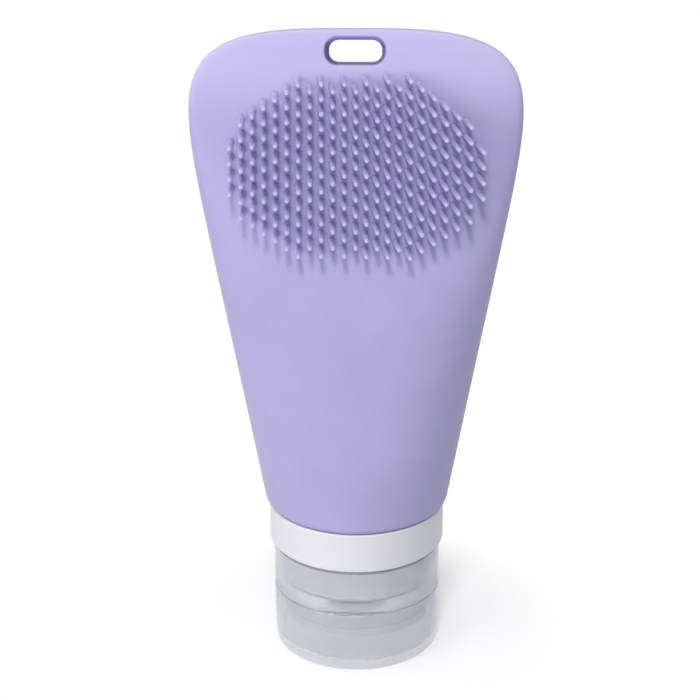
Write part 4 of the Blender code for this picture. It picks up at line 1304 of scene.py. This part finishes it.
class MakeLid(bpy.types.Operator):
    """Build the clear flip lid with its plug"""

    bl_idname = "travel_bottle.make_lid"
    bl_label = "Flip Lid"

    def execute(self, context):
        mesh = lid_mesh(context.scene.bottle_sizes)
        finish = clear_finish(context.scene.bottle_colours)
        made = place("clear_lid", mesh, finish, "clear_cap_plastic", None, "flip_lid")
        carve(made, land_mesh("lid_land", LID_HEIGHT - LAND_AWAY - LAND_HEIGHT), "UNION")
        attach(made, "lid")
        return {"FINISHED"}


class MakeHinge(bpy.types.Operator):
    """Build the thin strap of the living hinge as a still mesh in its closed shape"""

    bl_idname = "travel_bottle.make_hinge"
    bl_label = "Living Hinge"

    def execute(self, context):
        finish = clear_finish(context.scene.bottle_colours)
        made = place("hinge_strap", strap_mesh(), finish, "clear_cap_plastic", None, "living_hinge")
        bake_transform(made)
        return {"FINISHED"}


class MakeStage(bpy.types.Operator):
    """Set the floor, the lamps, the world and the camera"""

    bl_idname = "travel_bottle.make_stage"
    bl_label = "Studio"

    def execute(self, context):
        scene, stage = context.scene, context.scene.bottle_stage
        skin = Skin()
        side = np.linspace(-FLOOR_HALF, FLOOR_HALF, 7)
        x, y = np.meshgrid(side, side)
        skin.sheet(skin.add(np.stack([x, y, 0 * x], axis=-1)), around=False)
        mesh = skin.finish("studio_floor")
        if mesh.polygons[0].normal.z < 0:
            mesh.flip_normals()
        floor = fresh("studio_floor", mesh)
        floor.data.materials.append(floor_material(stage))
        light_world(stage)
        middle = (0, 0, BODY_TOP / 2)
        softbox("key softbox", KEY_PLACE, middle, KEY_SIDE, stage.key_power)
        softbox("fill softbox", FILL_PLACE, middle, FILL_SIDE, stage.fill_power)
        lens = bpy.data.cameras.new("photo camera")
        lens.sensor_width, lens.lens = 36, stage.camera_lens
        lens.clip_start, lens.clip_end = 0.01, 20
        camera = fresh("photo camera", lens)
        down = Matrix.Rotation(math.pi / 2 - stage.camera_pitch, 4, "X")
        turn = Matrix.Rotation(CAMERA_YAW, 4, "Z") @ down @ Matrix.Rotation(CAMERA_ROLL, 4, "Z")
        away = Matrix.Translation((0, -stage.camera_distance, stage.camera_height))
        camera.matrix_world = Matrix.Rotation(stage.camera_side, 4, "Z") @ away @ turn
        scene.camera = camera
        scene.view_settings.view_transform = "Standard"
        return {"FINISHED"}


class BottlePanel(bpy.types.Panel):
    """Lists the pieces in the order in which they are built"""

    bl_idname = "VIEW3D_PT_travel_bottle"
    bl_label = "Travel Bottle"
    bl_space_type = "VIEW_3D"
    bl_region_type = "UI"
    bl_category = "Travel Bottle"

    def draw(self, context):
        for maker in MAKERS:
            self.layout.operator(maker.bl_idname)
        for group in (context.scene.bottle_sizes, context.scene.bottle_colours, context.scene.bottle_stage):
            box = self.layout.box()
            for key in group.__annotations__:
                box.prop(group, key)


MAKERS = (MakeShell, MakeNubs, MakeCollar, MakeNeck, MakeCapBase, MakeValve, MakeLid, MakeHinge, MakeStage)
SETTINGS = (("bottle_sizes", BottleSizes), ("bottle_colours", BottleColours), ("bottle_stage", StageSettings))


def register():
    """Registers the settings first, then the operators and the panel that read them."""
    for _, group in SETTINGS:
        bpy.utils.register_class(group)
    for kind in (*MAKERS, BottlePanel):
        bpy.utils.register_class(kind)
    for name, group in SETTINGS:
        setattr(bpy.types.Scene, name, bpy.props.PointerProperty(type=group))


def unregister():
    """Takes out what register put in, in the opposite order."""
    for name, _ in SETTINGS:
        delattr(bpy.types.Scene, name)
    for kind in (BottlePanel, *reversed(MAKERS)):
        bpy.utils.unregister_class(kind)
    for _, group in reversed(SETTINGS):
        bpy.utils.unregister_class(group)


def main():
    """Builds every piece and the studio."""
    register()
    bottle = bpy.ops.travel_bottle
    bottle.make_shell()
    bottle.make_nubs()
    bottle.make_collar()
    bottle.make_neck()
    bottle.make_cap_base()
    bottle.make_valve()
    bottle.make_lid()
    bottle.make_hinge()
    bottle.make_stage()
    bpy.context.view_layer.update()


if __name__ == "__main__":
    main()
